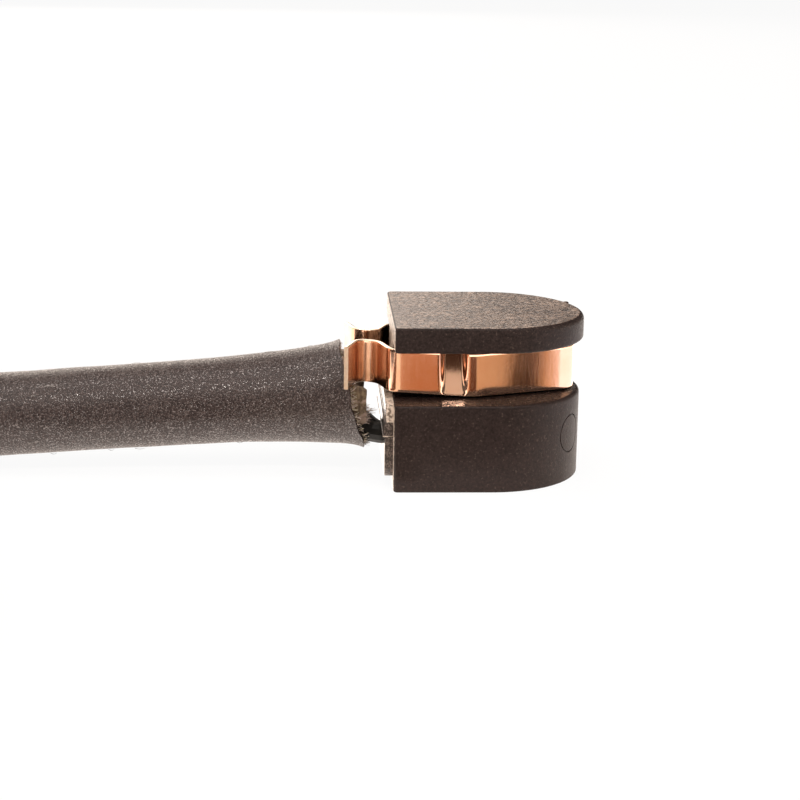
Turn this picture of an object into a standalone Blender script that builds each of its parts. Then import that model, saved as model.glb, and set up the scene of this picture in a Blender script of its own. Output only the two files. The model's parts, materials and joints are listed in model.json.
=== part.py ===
"""Brake pad wear sensor: a moulded head with a groove for the pad's backing plate, a spring clip bent around
the groove's neck, a wire loop inside the head, two lead wires in a glass-fibre sleeve and a black protective
sleeve, coiled for storage, with a two-way connector on its end. Metres, +Z up, +X towards the head's nose."""

import math

import bmesh
import bpy
from mathutils import Matrix, Vector

# Head
HEAD_LENGTH = 0.0116
HEAD_WIDTH = 0.01136
BODY_LENGTH = 0.01145
BODY_HEIGHT = 0.0052
GROOVE_HEIGHT = 0.0031
FLANGE_THICK = 0.0015
HEAD_CORNER_RADIUS = 0.0002
HEAD_EDGE_RADIUS = 0.00016
NECK_WIDTH = 0.0055
NECK_NOSE_WIDTH = 0.0020
NECK_NOSE_RADIUS = 0.0009
NECK_TAPER_START = 0.0050
NECK_CLEARANCE = 0.0002
PIN_MARK_RADIUS = 0.00117
PIN_MARK_DEPTH = 0.00022
PIN_MARK_ANGLE = math.radians(-31)
PIN_MARK_HEIGHT = 0.0029

# Block on the head's back, where the wires go in
BLOCK_WIDTH = 0.0096
BLOCK_BOTTOM = 0.0008
BLOCK_SEAM = 0.0032
BLOCK_TOP = 0.0042
BLOCK_DEPTH = 0.0005
BLOCK_STEP = 0.00008
BLOCK_CORNER_RADIUS = 0.0008

# Spring clip, as its plan shape's corners from the nose back, with the half widths of its middle plane
CLIP_THICK = 0.00025
CLIP_HEIGHT = 0.00257
CLIP_SEAT_GAP = 0.00011
CLIP_NOSE_INSET = 0.00055
CLIP_NOSE_HALF = 0.0014
CLIP_NOSE_RADIUS = 0.0013
CLIP_SHOULDER_X = 0.0050
CLIP_SIDE_HALF = 0.0036
CLIP_SHOULDER_RADIUS = 0.0025
CLIP_HEEL_X = -0.00012
CLIP_HEEL_RADIUS = 0.0004
CLIP_WAIST_HALF = 0.00145
CLIP_WAIST_FRONT_X = -0.00085
CLIP_WAIST_BACK_X = -0.00205
CLIP_WAIST_RADIUS = 0.00062
CLIP_TAIL_X = -0.00276
CLIP_TAIL_HALF = 0.00385
CLIP_RISE_START = 0.0044
CLIP_RISE_SLOPE = 0.062
POCKET_START = 0.0030
POCKET_WALL = 0.00016
POCKET_END = 0.00425
POCKET_DEPTH = 0.0005

# Wires and the loop that the worn pad lets the disc cut through
WIRE_RADIUS = 0.00065
CORE_RADIUS = 0.00033
WIRE_CLEARANCE = 0.0001
WIRE_SPACING = 0.0018
NEAR_WIRE_HEIGHT = 0.00236
FAR_WIRE_HEIGHT = 0.00200
WIRE_STOP_X = 0.0022
WIRE_TAIL_X = -0.0110
WIRE_PAIR_GAP = 0.0001
CRIMP_LENGTH = 0.0020
CRIMP_RADIUS = 0.0007
CRIMP_BORE = 0.00045
LOOP_RADIUS = 0.0004
LOOP_HEIGHT = 0.0016
LOOP_HALF_WIDTH = 0.0018
LOOP_REACH_X = 0.0094

# Sleeves
CORD_DIAMETER = 0.0051
SLEEVE_WALL = 0.00038
SLEEVE_END_X = -0.0120
SLEEVE_AXIS_HEIGHT = 0.004855
SLEEVE_SLOPE = 0.0677
FLARE_GAIN = 0.00042
FLARE_MIDDLE_X = -0.0040
FLARE_LENGTH = 0.0050
LIP_GAIN = 0.00022
LIP_LENGTH = 0.0006
MOUTH_TOP_X = -0.00305
MOUTH_SHOULDER_X = -0.00285
MOUTH_SIDE_X = -0.0024
MOUTH_BOTTOM_X = -0.0015
INNER_SLEEVE_WALL = 0.00025
INNER_SLEEVE_GAP = 0.00006
INNER_MOUTH_RADIUS = 0.0026
INNER_TOP_REACH = 0.00015
INNER_SIDE_REACH = 0.0004
INNER_NOTCH = 0.0021

# Coil and connector
JOIN_GAP = 0.0003
COIL_CENTRE = (-0.0528, -0.02925)
COIL_INNER_RADIUS = 0.02415
COIL_SEGMENTS = 48
COIL_EXIT_ANGLE = math.radians(-50)
TAIL_RADIUS = 0.0130
TAIL_TURN = math.radians(130)
PLUG_WIDTH = 0.0106
PLUG_HEIGHT = 0.0080
PLUG_CORNER = 0.0014
BOOT_LENGTH = 0.0062
BOOT_WALL = 0.0009
BOOT_SOCKET_DEPTH = 0.0040
BOOT_CLEARANCE = 0.0002
HOUSING_LENGTH = 0.0112
COLLAR_LENGTH = 0.0012
COLLAR_STEP = 0.0003
NOSE_LENGTH = 0.0062
NOSE_WIDTH = 0.0082
NOSE_HEIGHT = 0.0052
LATCH_WIDTH = 0.0032
LATCH_THICK = 0.0007
LATCH_GAP = 0.0005
LATCH_REACH = 0.0030
CONTACT_PITCH = 0.0038
CONTACT_BORE = 0.0010
CONTACT_CLEARANCE = 0.0001
SOCKET_RADIUS = 0.00055
TERMINAL_LENGTH = 0.0105
TERMINAL_SOCKET_DEPTH = 0.0050
WIRE_SEAL_LENGTH = 0.0030
FACE_SEAL_THICK = 0.0006
FACE_SEAL_LENGTH = 0.0020
LOCK_THICK = 0.0011

HALF_WIDTH = HEAD_WIDTH / 2
FLANGE_BOTTOM = BODY_HEIGHT + GROOVE_HEIGHT
HEAD_HEIGHT = FLANGE_BOTTOM + FLANGE_THICK
CORD_RADIUS = CORD_DIAMETER / 2
CLIP_BACK_REACH = -CLIP_TAIL_X + CLIP_THICK / 2
# The frame's origin is under the middle of the head and clip, so the head's back face stands at this x
BACK_X = (CLIP_BACK_REACH - HEAD_LENGTH) / 2


def clear_scene():
    for item in list(bpy.data.objects):
        bpy.data.objects.remove(item, do_unlink=True)


def material(name, colour, roughness, metallic=0.0):
    mat = bpy.data.materials.new(name)
    mat.use_nodes = True
    shader = mat.node_tree.nodes["Principled BSDF"]
    shader.inputs["Base Color"].default_value = (*colour, 1.0)
    shader.inputs["Roughness"].default_value = roughness
    shader.inputs["Metallic"].default_value = metallic
    return mat


def add_object(name, bm, mat, parent, smooth_angle=35.0):
    bmesh.ops.recalc_face_normals(bm, faces=bm.faces)
    mesh = bpy.data.meshes.new(name)
    bm.to_mesh(mesh)
    bm.free()
    mesh.materials.append(mat)
    mesh.shade_smooth()
    mesh.set_sharp_from_angle(angle=math.radians(smooth_angle))
    item = bpy.data.objects.new(name, mesh)
    bpy.context.scene.collection.objects.link(item)
    item.parent = parent
    return item


def as_tool(item):
    item.hide_render = True
    item.display_type = "WIRE"
    return item


def boolean(target, tool, operation):
    modifier = target.modifiers.new(f"{operation.lower()} {tool.name}", "BOOLEAN")
    modifier.object = tool
    modifier.operation = operation
    modifier.solver = "EXACT"


def frame_empty(name, location, turn=0.0, parent=None):
    item = bpy.data.objects.new(name, None)
    bpy.context.scene.collection.objects.link(item)
    item.location = location
    item.rotation_euler = (0.0, 0.0, turn)
    item.parent = parent
    return item


def rounded_route(corners, steps_per_turn=20):
    """Points of an open polyline whose inner corners are arcs. Each corner is (x, y, radius)."""
    points = [Vector(corners[0][:2])]
    for before, corner, after in zip(corners, corners[1:], corners[2:]):
        here = Vector(corner[:2])
        back = (Vector(before[:2]) - here).normalized()
        ahead = (Vector(after[:2]) - here).normalized()
        half = back.angle(ahead) / 2
        radius = corner[2]
        if radius <= 0 or half > math.radians(89.5):
            points.append(here)
            continue
        centre = here + (back + ahead).normalized() * (radius / math.sin(half))
        start = here + back * (radius / math.tan(half))
        end = here + ahead * (radius / math.tan(half))
        sweep = (start - centre).angle_signed(end - centre)
        count = max(2, math.ceil(abs(sweep) / (2 * math.pi) * steps_per_turn))
        arm = start - centre
        for step in range(count + 1):
            points.append(centre + Matrix.Rotation(-sweep * step / count, 2) @ arm)
    points.append(Vector(corners[-1][:2]))
    return points


def add_prism(bm, outline, low, high, place):
    """An outline pushed from low to high. place(u, v, w) turns outline and height into a point."""
    bottom = [bm.verts.new(place(u, v, low)) for u, v in outline]
    top = [bm.verts.new(place(u, v, high)) for u, v in outline]
    bm.faces.new(list(reversed(bottom)))
    bm.faces.new(top)
    for index, first in enumerate(bottom):
        after = (index + 1) % len(bottom)
        bm.faces.new((first, bottom[after], top[after], top[index]))


def prism(outline, low, high, place=lambda u, v, w: Vector((u, v, w))):
    bm = bmesh.new()
    add_prism(bm, outline, low, high, place)
    return bm


def add_loft(bm, rings, closed=False):
    """Joins rings of points, each as long as the next, and caps the two ends unless the rings close."""
    loops = [[bm.verts.new(point) for point in ring] for ring in rings]
    pairs = list(zip(loops, loops[1:]))
    if closed:
        pairs.append((loops[-1], loops[0]))
    for near, far in pairs:
        for index, first in enumerate(near):
            after = (index + 1) % len(near)
            bm.faces.new((first, near[after], far[after], far[index]))
    if not closed:
        bm.faces.new(list(reversed(loops[0])))
        bm.faces.new(loops[-1])


def loft(rings, closed=False):
    bm = bmesh.new()
    add_loft(bm, rings, closed)
    return bm


def lathe(profile, centre, axis_x=True, segments=20):
    """A profile of (along, radius) pairs turned about an axis along x, or along z if axis_x is False."""
    rings = []
    for step in range(segments):
        angle = 2 * math.pi * step / segments
        ring = []
        for along, radius in profile:
            side, up = radius * math.cos(angle), radius * math.sin(angle)
            local = Vector((along, side, up)) if axis_x else Vector((side, up, along))
            ring.append(Vector(centre) + local)
        rings.append(ring)
    return loft(rings, closed=True)


def sweep(points, radii, sides=12):
    """A round bar of changing radius along a path."""
    rings = []
    up = Vector((0, 0, 1))
    for index, point in enumerate(points):
        last = len(points) - 1
        ahead = points[min(index + 1, last)] - points[max(index - 1, 0)]
        ahead.normalize()
        side = up.cross(ahead).normalized()
        lift = ahead.cross(side)
        ring = []
        for step in range(sides):
            angle = 2 * math.pi * step / sides
            ring.append(point + (side * math.cos(angle) + lift * math.sin(angle)) * radii[index])
        rings.append(ring)
    return loft(rings)


def smooth_path(points, per_span):
    """A curve through every point, read at per_span places between each two."""
    held = [points[0] * 2 - points[1], *points, points[-1] * 2 - points[-2]]
    out = []
    for a, b, c, d in zip(held, held[1:], held[2:], held[3:]):
        for step in range(per_span):
            t = step / per_span
            out.append(
                0.5 * ((2 * b) + (c - a) * t + (2 * a - 5 * b + 4 * c - d) * t**2 + (3 * b - a - 3 * c + d) * t**3)
            )
    out.append(points[-1].copy())
    return out


def smoothstep(low, high, value):
    t = min(max((value - low) / (high - low), 0.0), 1.0)
    return t * t * (3 - 2 * t)


def d_outline(length, half_width, corner_radius, inset=0.0):
    """The head's plan, or a line inset from it: a straight back, two straight sides and a half-round nose."""
    nose_x = length - half_width
    half_width -= inset
    corner = (inset, half_width, corner_radius - inset)
    outline = rounded_route([(nose_x, half_width, 0), corner, (inset, 0, 0)], 12)[:-1]
    outline += [Vector((point.x, -point.y)) for point in reversed(outline)]
    steps = 26
    for step in range(1, steps):
        angle = -math.pi / 2 + math.pi * step / steps
        outline.append(Vector((nose_x + half_width * math.cos(angle), half_width * math.sin(angle))))
    return outline


def rounded_rectangle(width, height, radius, middle=(0.0, 0.0), steps=4):
    outline = []
    for corner, (right, up) in enumerate(((1, 1), (-1, 1), (-1, -1), (1, -1))):
        for step in range(steps + 1):
            angle = math.pi / 2 * (corner + step / steps)
            u = middle[0] + right * (width / 2 - radius) + radius * math.cos(angle)
            v = middle[1] + up * (height / 2 - radius) + radius * math.sin(angle)
            outline.append(Vector((u, v)))
    return outline


def wire_sides():
    """The two wires' y and height where they go into the head."""
    return ((-WIRE_SPACING / 2, NEAR_WIRE_HEIGHT), (WIRE_SPACING / 2, FAR_WIRE_HEIGHT))


def loop_path():
    """The middle line of the contact loop, from the near crimp around under the nose to the far crimp."""
    start_x = WIRE_STOP_X + CRIMP_LENGTH / 2
    halves = []
    for side, height in wire_sides():
        sign = math.copysign(1.0, side)
        halves.append(
            [
                Vector((start_x, side, height)),
                Vector((WIRE_STOP_X + CRIMP_LENGTH, side, height)),
                Vector((start_x + 0.0024, sign * LOOP_HALF_WIDTH * 0.75, (height + LOOP_HEIGHT) / 2)),
                Vector((start_x + 0.0040, sign * LOOP_HALF_WIDTH, LOOP_HEIGHT)),
                Vector((LOOP_REACH_X - LOOP_HALF_WIDTH, sign * LOOP_HALF_WIDTH, LOOP_HEIGHT)),
                Vector((LOOP_REACH_X - LOOP_HALF_WIDTH * 0.35, sign * LOOP_HALF_WIDTH * 0.75, LOOP_HEIGHT)),
            ]
        )
    return halves[0] + [Vector((LOOP_REACH_X, 0.0, LOOP_HEIGHT))] + list(reversed(halves[1]))


def make_head(mat, parent):
    # The pad's backing plate slides in on the bands of the groove's floor and roof beside the clip
    side_line = CLIP_SIDE_HALF + CLIP_THICK / 2 + CLIP_SEAT_GAP

    def half_round_slab(name, length, low, high):
        steps = 2
        rings = []
        for step in range(2 * steps + 2):
            upper = step > steps
            angle = math.pi / 2 * (step - upper) / steps
            inset = HEAD_EDGE_RADIUS * (1 - math.sin(angle))
            rise = HEAD_EDGE_RADIUS * (1 - abs(math.cos(angle)))
            z = high - rise if upper else low + rise
            outline = d_outline(length, HALF_WIDTH, HEAD_CORNER_RADIUS, inset)
            rings.append([Vector((point.x, point.y, z)) for point in outline])
        slab = loft(rings)
        for line in (-side_line, side_line):
            whole = list(slab.verts) + list(slab.edges) + list(slab.faces)
            bmesh.ops.bisect_plane(slab, geom=whole, dist=1e-8, plane_co=(0, line, 0), plane_no=(0, 1, 0))
        return add_object(name, slab, mat, parent)

    body = half_round_slab("sensor_head", BODY_LENGTH, 0.0, BODY_HEIGHT)
    flange = as_tool(half_round_slab("flange_form", HEAD_LENGTH, FLANGE_BOTTOM, HEAD_HEIGHT))
    neck_nose_x = BODY_LENGTH - CLIP_NOSE_INSET - CLIP_THICK / 2 - NECK_CLEARANCE
    neck_side = rounded_route(
        [
            (neck_nose_x, 0, 0),
            (neck_nose_x, -NECK_NOSE_WIDTH / 2, NECK_NOSE_RADIUS),
            (NECK_TAPER_START, -NECK_WIDTH / 2, 0.002),
            (HEAD_CORNER_RADIUS, -NECK_WIDTH / 2, 0),
        ]
    )[1:]
    neck_outline = [Vector((p.x, -p.y)) for p in reversed(neck_side)] + neck_side
    neck = as_tool(
        add_object(
            "neck_form",
            prism(neck_outline, BODY_HEIGHT - FLANGE_THICK / 2, FLANGE_BOTTOM + FLANGE_THICK / 2),
            mat,
            parent,
        )
    )
    boolean(body, neck, "UNION")
    boolean(body, flange, "UNION")

    # The block on the back has a mould seam, and stands a little prouder above it
    def back_block(name, low, high, depth, radius):
        outline = rounded_rectangle(BLOCK_WIDTH, high - low, radius, (0.0, (low + high) / 2))
        into = HEAD_CORNER_RADIUS * 2
        return as_tool(
            add_object(name, prism(outline, -depth, into, lambda u, v, w: Vector((w, u, v))), mat, parent)
        )

    boolean(body, back_block("block_form", BLOCK_BOTTOM, BLOCK_TOP, BLOCK_DEPTH, BLOCK_CORNER_RADIUS), "UNION")
    upper = back_block(
        "block_step_form", BLOCK_SEAM, BLOCK_TOP - BLOCK_STEP, BLOCK_DEPTH + BLOCK_STEP, BLOCK_CORNER_RADIUS / 4
    )
    boolean(body, upper, "UNION")

    # One cut for both wire bores, both crimp chambers and the loop's channel between them
    loop = smooth_path(loop_path(), 2)
    near, far = wire_sides()
    bore = WIRE_RADIUS + WIRE_CLEARANCE
    chamber = CRIMP_RADIUS + WIRE_CLEARANCE
    chamber_end = WIRE_STOP_X + CRIMP_LENGTH + WIRE_CLEARANCE
    outside = -BLOCK_DEPTH * 3
    step = 0.00002
    points, radii = [], []
    for x, radius in ((outside, bore), (WIRE_STOP_X, bore), (WIRE_STOP_X + step, chamber), (chamber_end, chamber)):
        points.append(Vector((x, *near)))
        radii.append(radius)
    for point in loop:
        if point.x > chamber_end + step:
            points.append(point)
            radii.append(LOOP_RADIUS + WIRE_CLEARANCE)
    for x, radius in ((chamber_end, chamber), (WIRE_STOP_X + step, chamber), (WIRE_STOP_X, bore), (outside, bore)):
        points.append(Vector((x, *far)))
        radii.append(radius)
    boolean(body, as_tool(add_object("wire_channel", sweep(points, radii), mat, parent)), "DIFFERENCE")

    # A moulding pin left a shallow round flat on the nose
    centre = Vector((BODY_LENGTH - HALF_WIDTH, 0, PIN_MARK_HEIGHT))
    outward = Vector((math.cos(PIN_MARK_ANGLE), math.sin(PIN_MARK_ANGLE), 0))
    profile = [(HALF_WIDTH - PIN_MARK_DEPTH, 0.00001), (HALF_WIDTH - PIN_MARK_DEPTH, PIN_MARK_RADIUS)]
    profile += [(HALF_WIDTH * 1.2, PIN_MARK_RADIUS), (HALF_WIDTH * 1.2, 0.00001)]
    side = Vector((-outward.y, outward.x, 0))
    rings = []
    for ring in range(24):
        angle = 2 * math.pi * ring / 24
        arm = side * math.cos(angle) + Vector((0, 0, 1)) * math.sin(angle)
        rings.append([centre + outward * along + arm * radius for along, radius in profile[1:3]])
    disc = loft([[ring[0] for ring in rings], [ring[1] for ring in rings]])
    boolean(body, as_tool(add_object("pin_mark_cut", disc, mat, parent)), "DIFFERENCE")
    return body


def clip_half_route():
    """The clip's middle line in plan on the near side, from its free tail to the middle of its nose."""
    nose_x = BODY_LENGTH - CLIP_NOSE_INSET
    return rounded_route(
        [
            (CLIP_TAIL_X, -CLIP_TAIL_HALF, 0),
            (CLIP_WAIST_BACK_X, -CLIP_WAIST_HALF, CLIP_WAIST_RADIUS),
            (CLIP_WAIST_FRONT_X, -CLIP_WAIST_HALF, CLIP_WAIST_RADIUS),
            (CLIP_HEEL_X, -CLIP_SIDE_HALF, CLIP_HEEL_RADIUS),
            (POCKET_START, -CLIP_SIDE_HALF, 0),
            (POCKET_START + POCKET_WALL, -CLIP_SIDE_HALF, 0),
            ((POCKET_START + POCKET_END) / 2, -CLIP_SIDE_HALF, 0),
            (POCKET_END, -CLIP_SIDE_HALF, 0),
            (CLIP_SHOULDER_X, -CLIP_SIDE_HALF, CLIP_SHOULDER_RADIUS),
            (nose_x, -CLIP_NOSE_HALF, CLIP_NOSE_RADIUS),
            (nose_x, 0, 0),
        ]
    )


def pocket_share(x):
    """How far into its pocket the strip is pressed at x, from 0 to 1: a steep wall, then a ramp."""
    if x <= POCKET_START or x >= POCKET_END:
        return 0.0
    wall_end = POCKET_START + POCKET_WALL
    if x < wall_end:
        return (x - POCKET_START) / POCKET_WALL
    return (POCKET_END - x) / (POCKET_END - wall_end)


def make_clip(mat, parent):
    near = clip_half_route()
    route = near + [Vector((p.x, -p.y)) for p in reversed(near[:-1])]
    heights = (0.0, 0.12, 0.4, 0.7, 1.0)
    rings = []
    for index, point in enumerate(route):
        ahead = (route[min(index + 1, len(route) - 1)] - route[max(index - 1, 0)]).normalized()
        # The route runs nose-wards on the near side, so its left is the clip's inner side all along
        inward = Vector((-ahead.y, ahead.x))
        if 0 < index < len(route) - 1:
            back = (route[index] - route[index - 1]).normalized()
            inward /= max(0.5, abs(inward.dot(Vector((-back.y, back.x)))))
        bottom = BODY_HEIGHT + CLIP_SEAT_GAP + CLIP_RISE_SLOPE * max(0.0, CLIP_RISE_START - point.x)
        outer, inner = [], []
        for share in heights:
            sunk = POCKET_DEPTH * pocket_share(point.x) * share
            z = bottom + CLIP_HEIGHT * share
            for column, offset in ((outer, -CLIP_THICK / 2), (inner, CLIP_THICK / 2)):
                place = point + inward * (offset + sunk)
                column.append(Vector((place.x, place.y, z)))
        rings.append(outer + list(reversed(inner)))
    return add_object("spring_clip", loft(rings), mat, parent, 25.0)


def make_wires(mat, loop_mat, crimp_mat, parent):
    lip_x = MOUTH_BOTTOM_X
    lip_height = wire_rest_height(lip_x, flare_radius(lip_x, lip_x) - SLEEVE_WALL)
    notch_x = MOUTH_BOTTOM_X - INNER_NOTCH
    notch_height = wire_rest_height(notch_x, INNER_MOUTH_RADIUS - INNER_SLEEVE_WALL)
    for number, (side, height) in enumerate(wire_sides(), start=1):
        close = math.copysign(WIRE_RADIUS + WIRE_PAIR_GAP / 2, side)
        path = [
            Vector((WIRE_STOP_X - WIRE_CLEARANCE, side, height)),
            Vector((-BLOCK_DEPTH * 1.2, side, height)),
            Vector((lip_x, (side + close) / 2, max(height, lip_height))),
            Vector((notch_x + WIRE_RADIUS, close, notch_height)),
            Vector((notch_x * 2, close, sleeve_axis(notch_x * 2))),
            Vector((WIRE_TAIL_X, close, sleeve_axis(WIRE_TAIL_X))),
        ]
        path = smooth_path(path, 2)
        core_x = WIRE_STOP_X - WIRE_CLEARANCE
        bare = [Vector((core_x + CRIMP_LENGTH * 0.45, side, height)), Vector((core_x + 0.00002, side, height))]
        radii = [CORE_RADIUS, CORE_RADIUS] + [WIRE_RADIUS] * len(path)
        add_object(f"lead_wire_{number}", sweep(bare + path, radii), mat, parent)
        crimp = [
            (0.0, CRIMP_BORE),
            (CRIMP_LENGTH, CRIMP_BORE),
            (CRIMP_LENGTH, CRIMP_RADIUS * 0.9),
            (CRIMP_LENGTH * 0.85, CRIMP_RADIUS),
            (CRIMP_LENGTH * 0.6, CRIMP_RADIUS * 0.88),
            (CRIMP_LENGTH * 0.4, CRIMP_RADIUS * 0.88),
            (CRIMP_LENGTH * 0.15, CRIMP_RADIUS),
            (0.0, CRIMP_RADIUS * 0.9),
        ]
        start = (WIRE_STOP_X + WIRE_CLEARANCE / 2, side, height)
        add_object(f"crimp_{number}", lathe(crimp, start, segments=14), crimp_mat, parent)
    loop = smooth_path(loop_path(), 2)
    add_object("contact_loop", sweep(loop, [LOOP_RADIUS] * len(loop), sides=10), loop_mat, parent)


def sleeve_axis(x):
    return SLEEVE_AXIS_HEIGHT + SLEEVE_SLOPE * x


def wire_rest_height(x, bore_radius):
    """How high a wire's middle must be at x to lie just clear of the bottom of a round bore."""
    reach = bore_radius - WIRE_RADIUS - WIRE_CLEARANCE
    return sleeve_axis(x) - math.sqrt(reach**2 - (WIRE_SPACING / 2) ** 2)


def mouth_x(angle):
    """Where the slanted cut ends the sleeve, at an angle about its axis: 90 degrees is the top."""
    up = math.sin(angle)
    if up >= 0:
        share = smoothstep(0.0, 0.75, up)
        shoulder = MOUTH_SIDE_X + (MOUTH_SHOULDER_X - MOUTH_SIDE_X) * share
        return shoulder + (MOUTH_TOP_X - MOUTH_SHOULDER_X) * smoothstep(0.6, 1.0, up)
    return MOUTH_SIDE_X + (MOUTH_BOTTOM_X - MOUTH_SIDE_X) * -up


def flare_radius(x, end_x):
    lip = LIP_GAIN * math.exp(-(end_x - x) / LIP_LENGTH)
    return CORD_RADIUS + FLARE_GAIN * math.exp((x - FLARE_MIDDLE_X) / FLARE_LENGTH) + lip


def flared_tube(start_x, end_at, outer_at, wall, rows, sides):
    """A tube from start_x to a mouth whose place depends on the angle, closed around through its wall."""
    shares = [1 - (1 - row / rows) ** 1.6 for row in range(rows + 1)]
    rings = []
    for step in range(sides):
        angle = 2 * math.pi * step / sides
        outer, inner = [], []
        for share in shares:
            x = start_x + (end_at(angle) - start_x) * share
            radius = outer_at(x, end_at(angle))
            for column, r in ((outer, radius), (inner, radius - wall)):
                column.append(Vector((x, r * math.cos(angle), sleeve_axis(x) + r * math.sin(angle))))
        rings.append(outer + list(reversed(inner)))
    return loft(rings, closed=True)


def inner_mouth_x(angle):
    """The glass-fibre sleeve stands a little out of the black one, and is notched below for the wires."""
    up = math.sin(angle)
    reach = INNER_SIDE_REACH + (INNER_TOP_REACH - INNER_SIDE_REACH) * smoothstep(-0.2, 0.4, up)
    return mouth_x(angle) + reach - (INNER_NOTCH + INNER_SIDE_REACH) * smoothstep(-0.55, -0.8, up)


def make_sleeve_ends(outer_mat, inner_mat, parent):
    outer = flared_tube(SLEEVE_END_X, mouth_x, flare_radius, SLEEVE_WALL, rows=9, sides=28)
    add_object("sleeve_end", outer, outer_mat, parent)

    def inner_radius(x, end_x):
        return min(flare_radius(x, end_x + LIP_LENGTH) - SLEEVE_WALL - INNER_SLEEVE_GAP, INNER_MOUTH_RADIUS)

    inner = flared_tube(SLEEVE_END_X + JOIN_GAP, inner_mouth_x, inner_radius, INNER_SLEEVE_WALL, rows=7, sides=24)
    add_object("inner_sleeve", inner, inner_mat, parent)


def coil_lanes():
    """Radius from the coil's axis and height of the three turns: inner and outer on the floor, one on top."""
    pitch = CORD_DIAMETER
    inner = (COIL_INNER_RADIUS, CORD_RADIUS)
    outer = (COIL_INNER_RADIUS + pitch, CORD_RADIUS)
    top = (COIL_INNER_RADIUS + pitch / 2, CORD_RADIUS + pitch * math.sin(math.radians(60)))
    return inner, outer, top


def make_coil(mat, parent):
    """One turned ring of the outer shape of the three turns."""
    inner, outer, top = coil_lanes()
    section = []
    for (radius, height), start, end in ((outer, -90, 30), (top, 30, 150), (inner, 150, 270)):
        for step in range(5):
            angle = math.radians(start + (end - start) * step / 4)
            section.append((height + CORD_RADIUS * math.sin(angle), radius + CORD_RADIUS * math.cos(angle)))
    bm = lathe(section, (*COIL_CENTRE, 0.0), axis_x=False, segments=COIL_SEGMENTS)
    add_object("sleeve_coil", bm, mat, parent)


# The lead-in's route from the flared end to the coil, (x, y, z) from the head's back face, on the floor at last
LEAD_IN_ROUTE = (
    (-0.0123, 0.0, 0.00402),
    (-0.0160, 0.0, 0.00377),
    (-0.0200, 0.0, 0.00350),
    (-0.0236, 0.0, 0.00326),
    (-0.0270, 0.0, 0.00302),
    (-0.0300, 0.0, 0.00282),
    (-0.0326, 0.0, 0.00267),
    (-0.0349, 0.0, 0.00258),
)


def cord_tube(name, points, mat, parent):
    curve = bpy.data.curves.new(name, "CURVE")
    curve.dimensions = "3D"
    curve.bevel_depth = CORD_RADIUS
    curve.bevel_resolution = 3
    curve.use_fill_caps = True
    spline = curve.splines.new("POLY")
    spline.points.add(len(points) - 1)
    for slot, point in zip(spline.points, points):
        slot.co = (*point, 1.0)
    curve.materials.append(mat)
    item = bpy.data.objects.new(name, curve)
    bpy.context.scene.collection.objects.link(item)
    item.parent = parent
    return item


def tail_point(turned):
    """A point of the tail, which leaves the coil's inner turn inwards, after it has turned by an angle."""
    arm = COIL_INNER_RADIUS - TAIL_RADIUS
    centre = Vector((*COIL_CENTRE, 0.0)) + arm * Vector((math.cos(COIL_EXIT_ANGLE), math.sin(COIL_EXIT_ANGLE), 0))
    angle = COIL_EXIT_ANGLE + turned
    rise = (PLUG_HEIGHT / 2 - CORD_RADIUS) * smoothstep(0.45, 0.95, turned / TAIL_TURN)
    flat = centre + TAIL_RADIUS * Vector((math.cos(angle), math.sin(angle), 0))
    return flat + Vector((0, 0, CORD_RADIUS + rise))


def make_cords(mat, parent):
    lead_in = smooth_path([Vector(point) for point in LEAD_IN_ROUTE], 1)
    cord_tube("sleeve_lead", lead_in, mat, parent)
    make_coil(mat, parent)
    clear_radius = COIL_INNER_RADIUS - 2 * CORD_RADIUS - JOIN_GAP
    turned = 0.0
    while (tail_point(turned).xy - Vector(COIL_CENTRE)).length > clear_radius:
        turned += math.radians(1)
    tail = [tail_point(turned + (TAIL_TURN - turned) * step / 7) for step in range(8)]
    ahead = Vector(plug_axis())
    tail.append(tail_point(TAIL_TURN) + ahead * (BOOT_SOCKET_DEPTH - JOIN_GAP))
    cord_tube("sleeve_tail", tail, mat, parent)


def plug_axis():
    heading = COIL_EXIT_ANGLE + TAIL_TURN + math.pi / 2
    return (math.cos(heading), math.sin(heading), 0.0)


def plug_section(width, height, radius, at_x):
    outline = rounded_rectangle(width, height, radius)
    return [Vector((at_x, u, v)) for u, v in outline]


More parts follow.
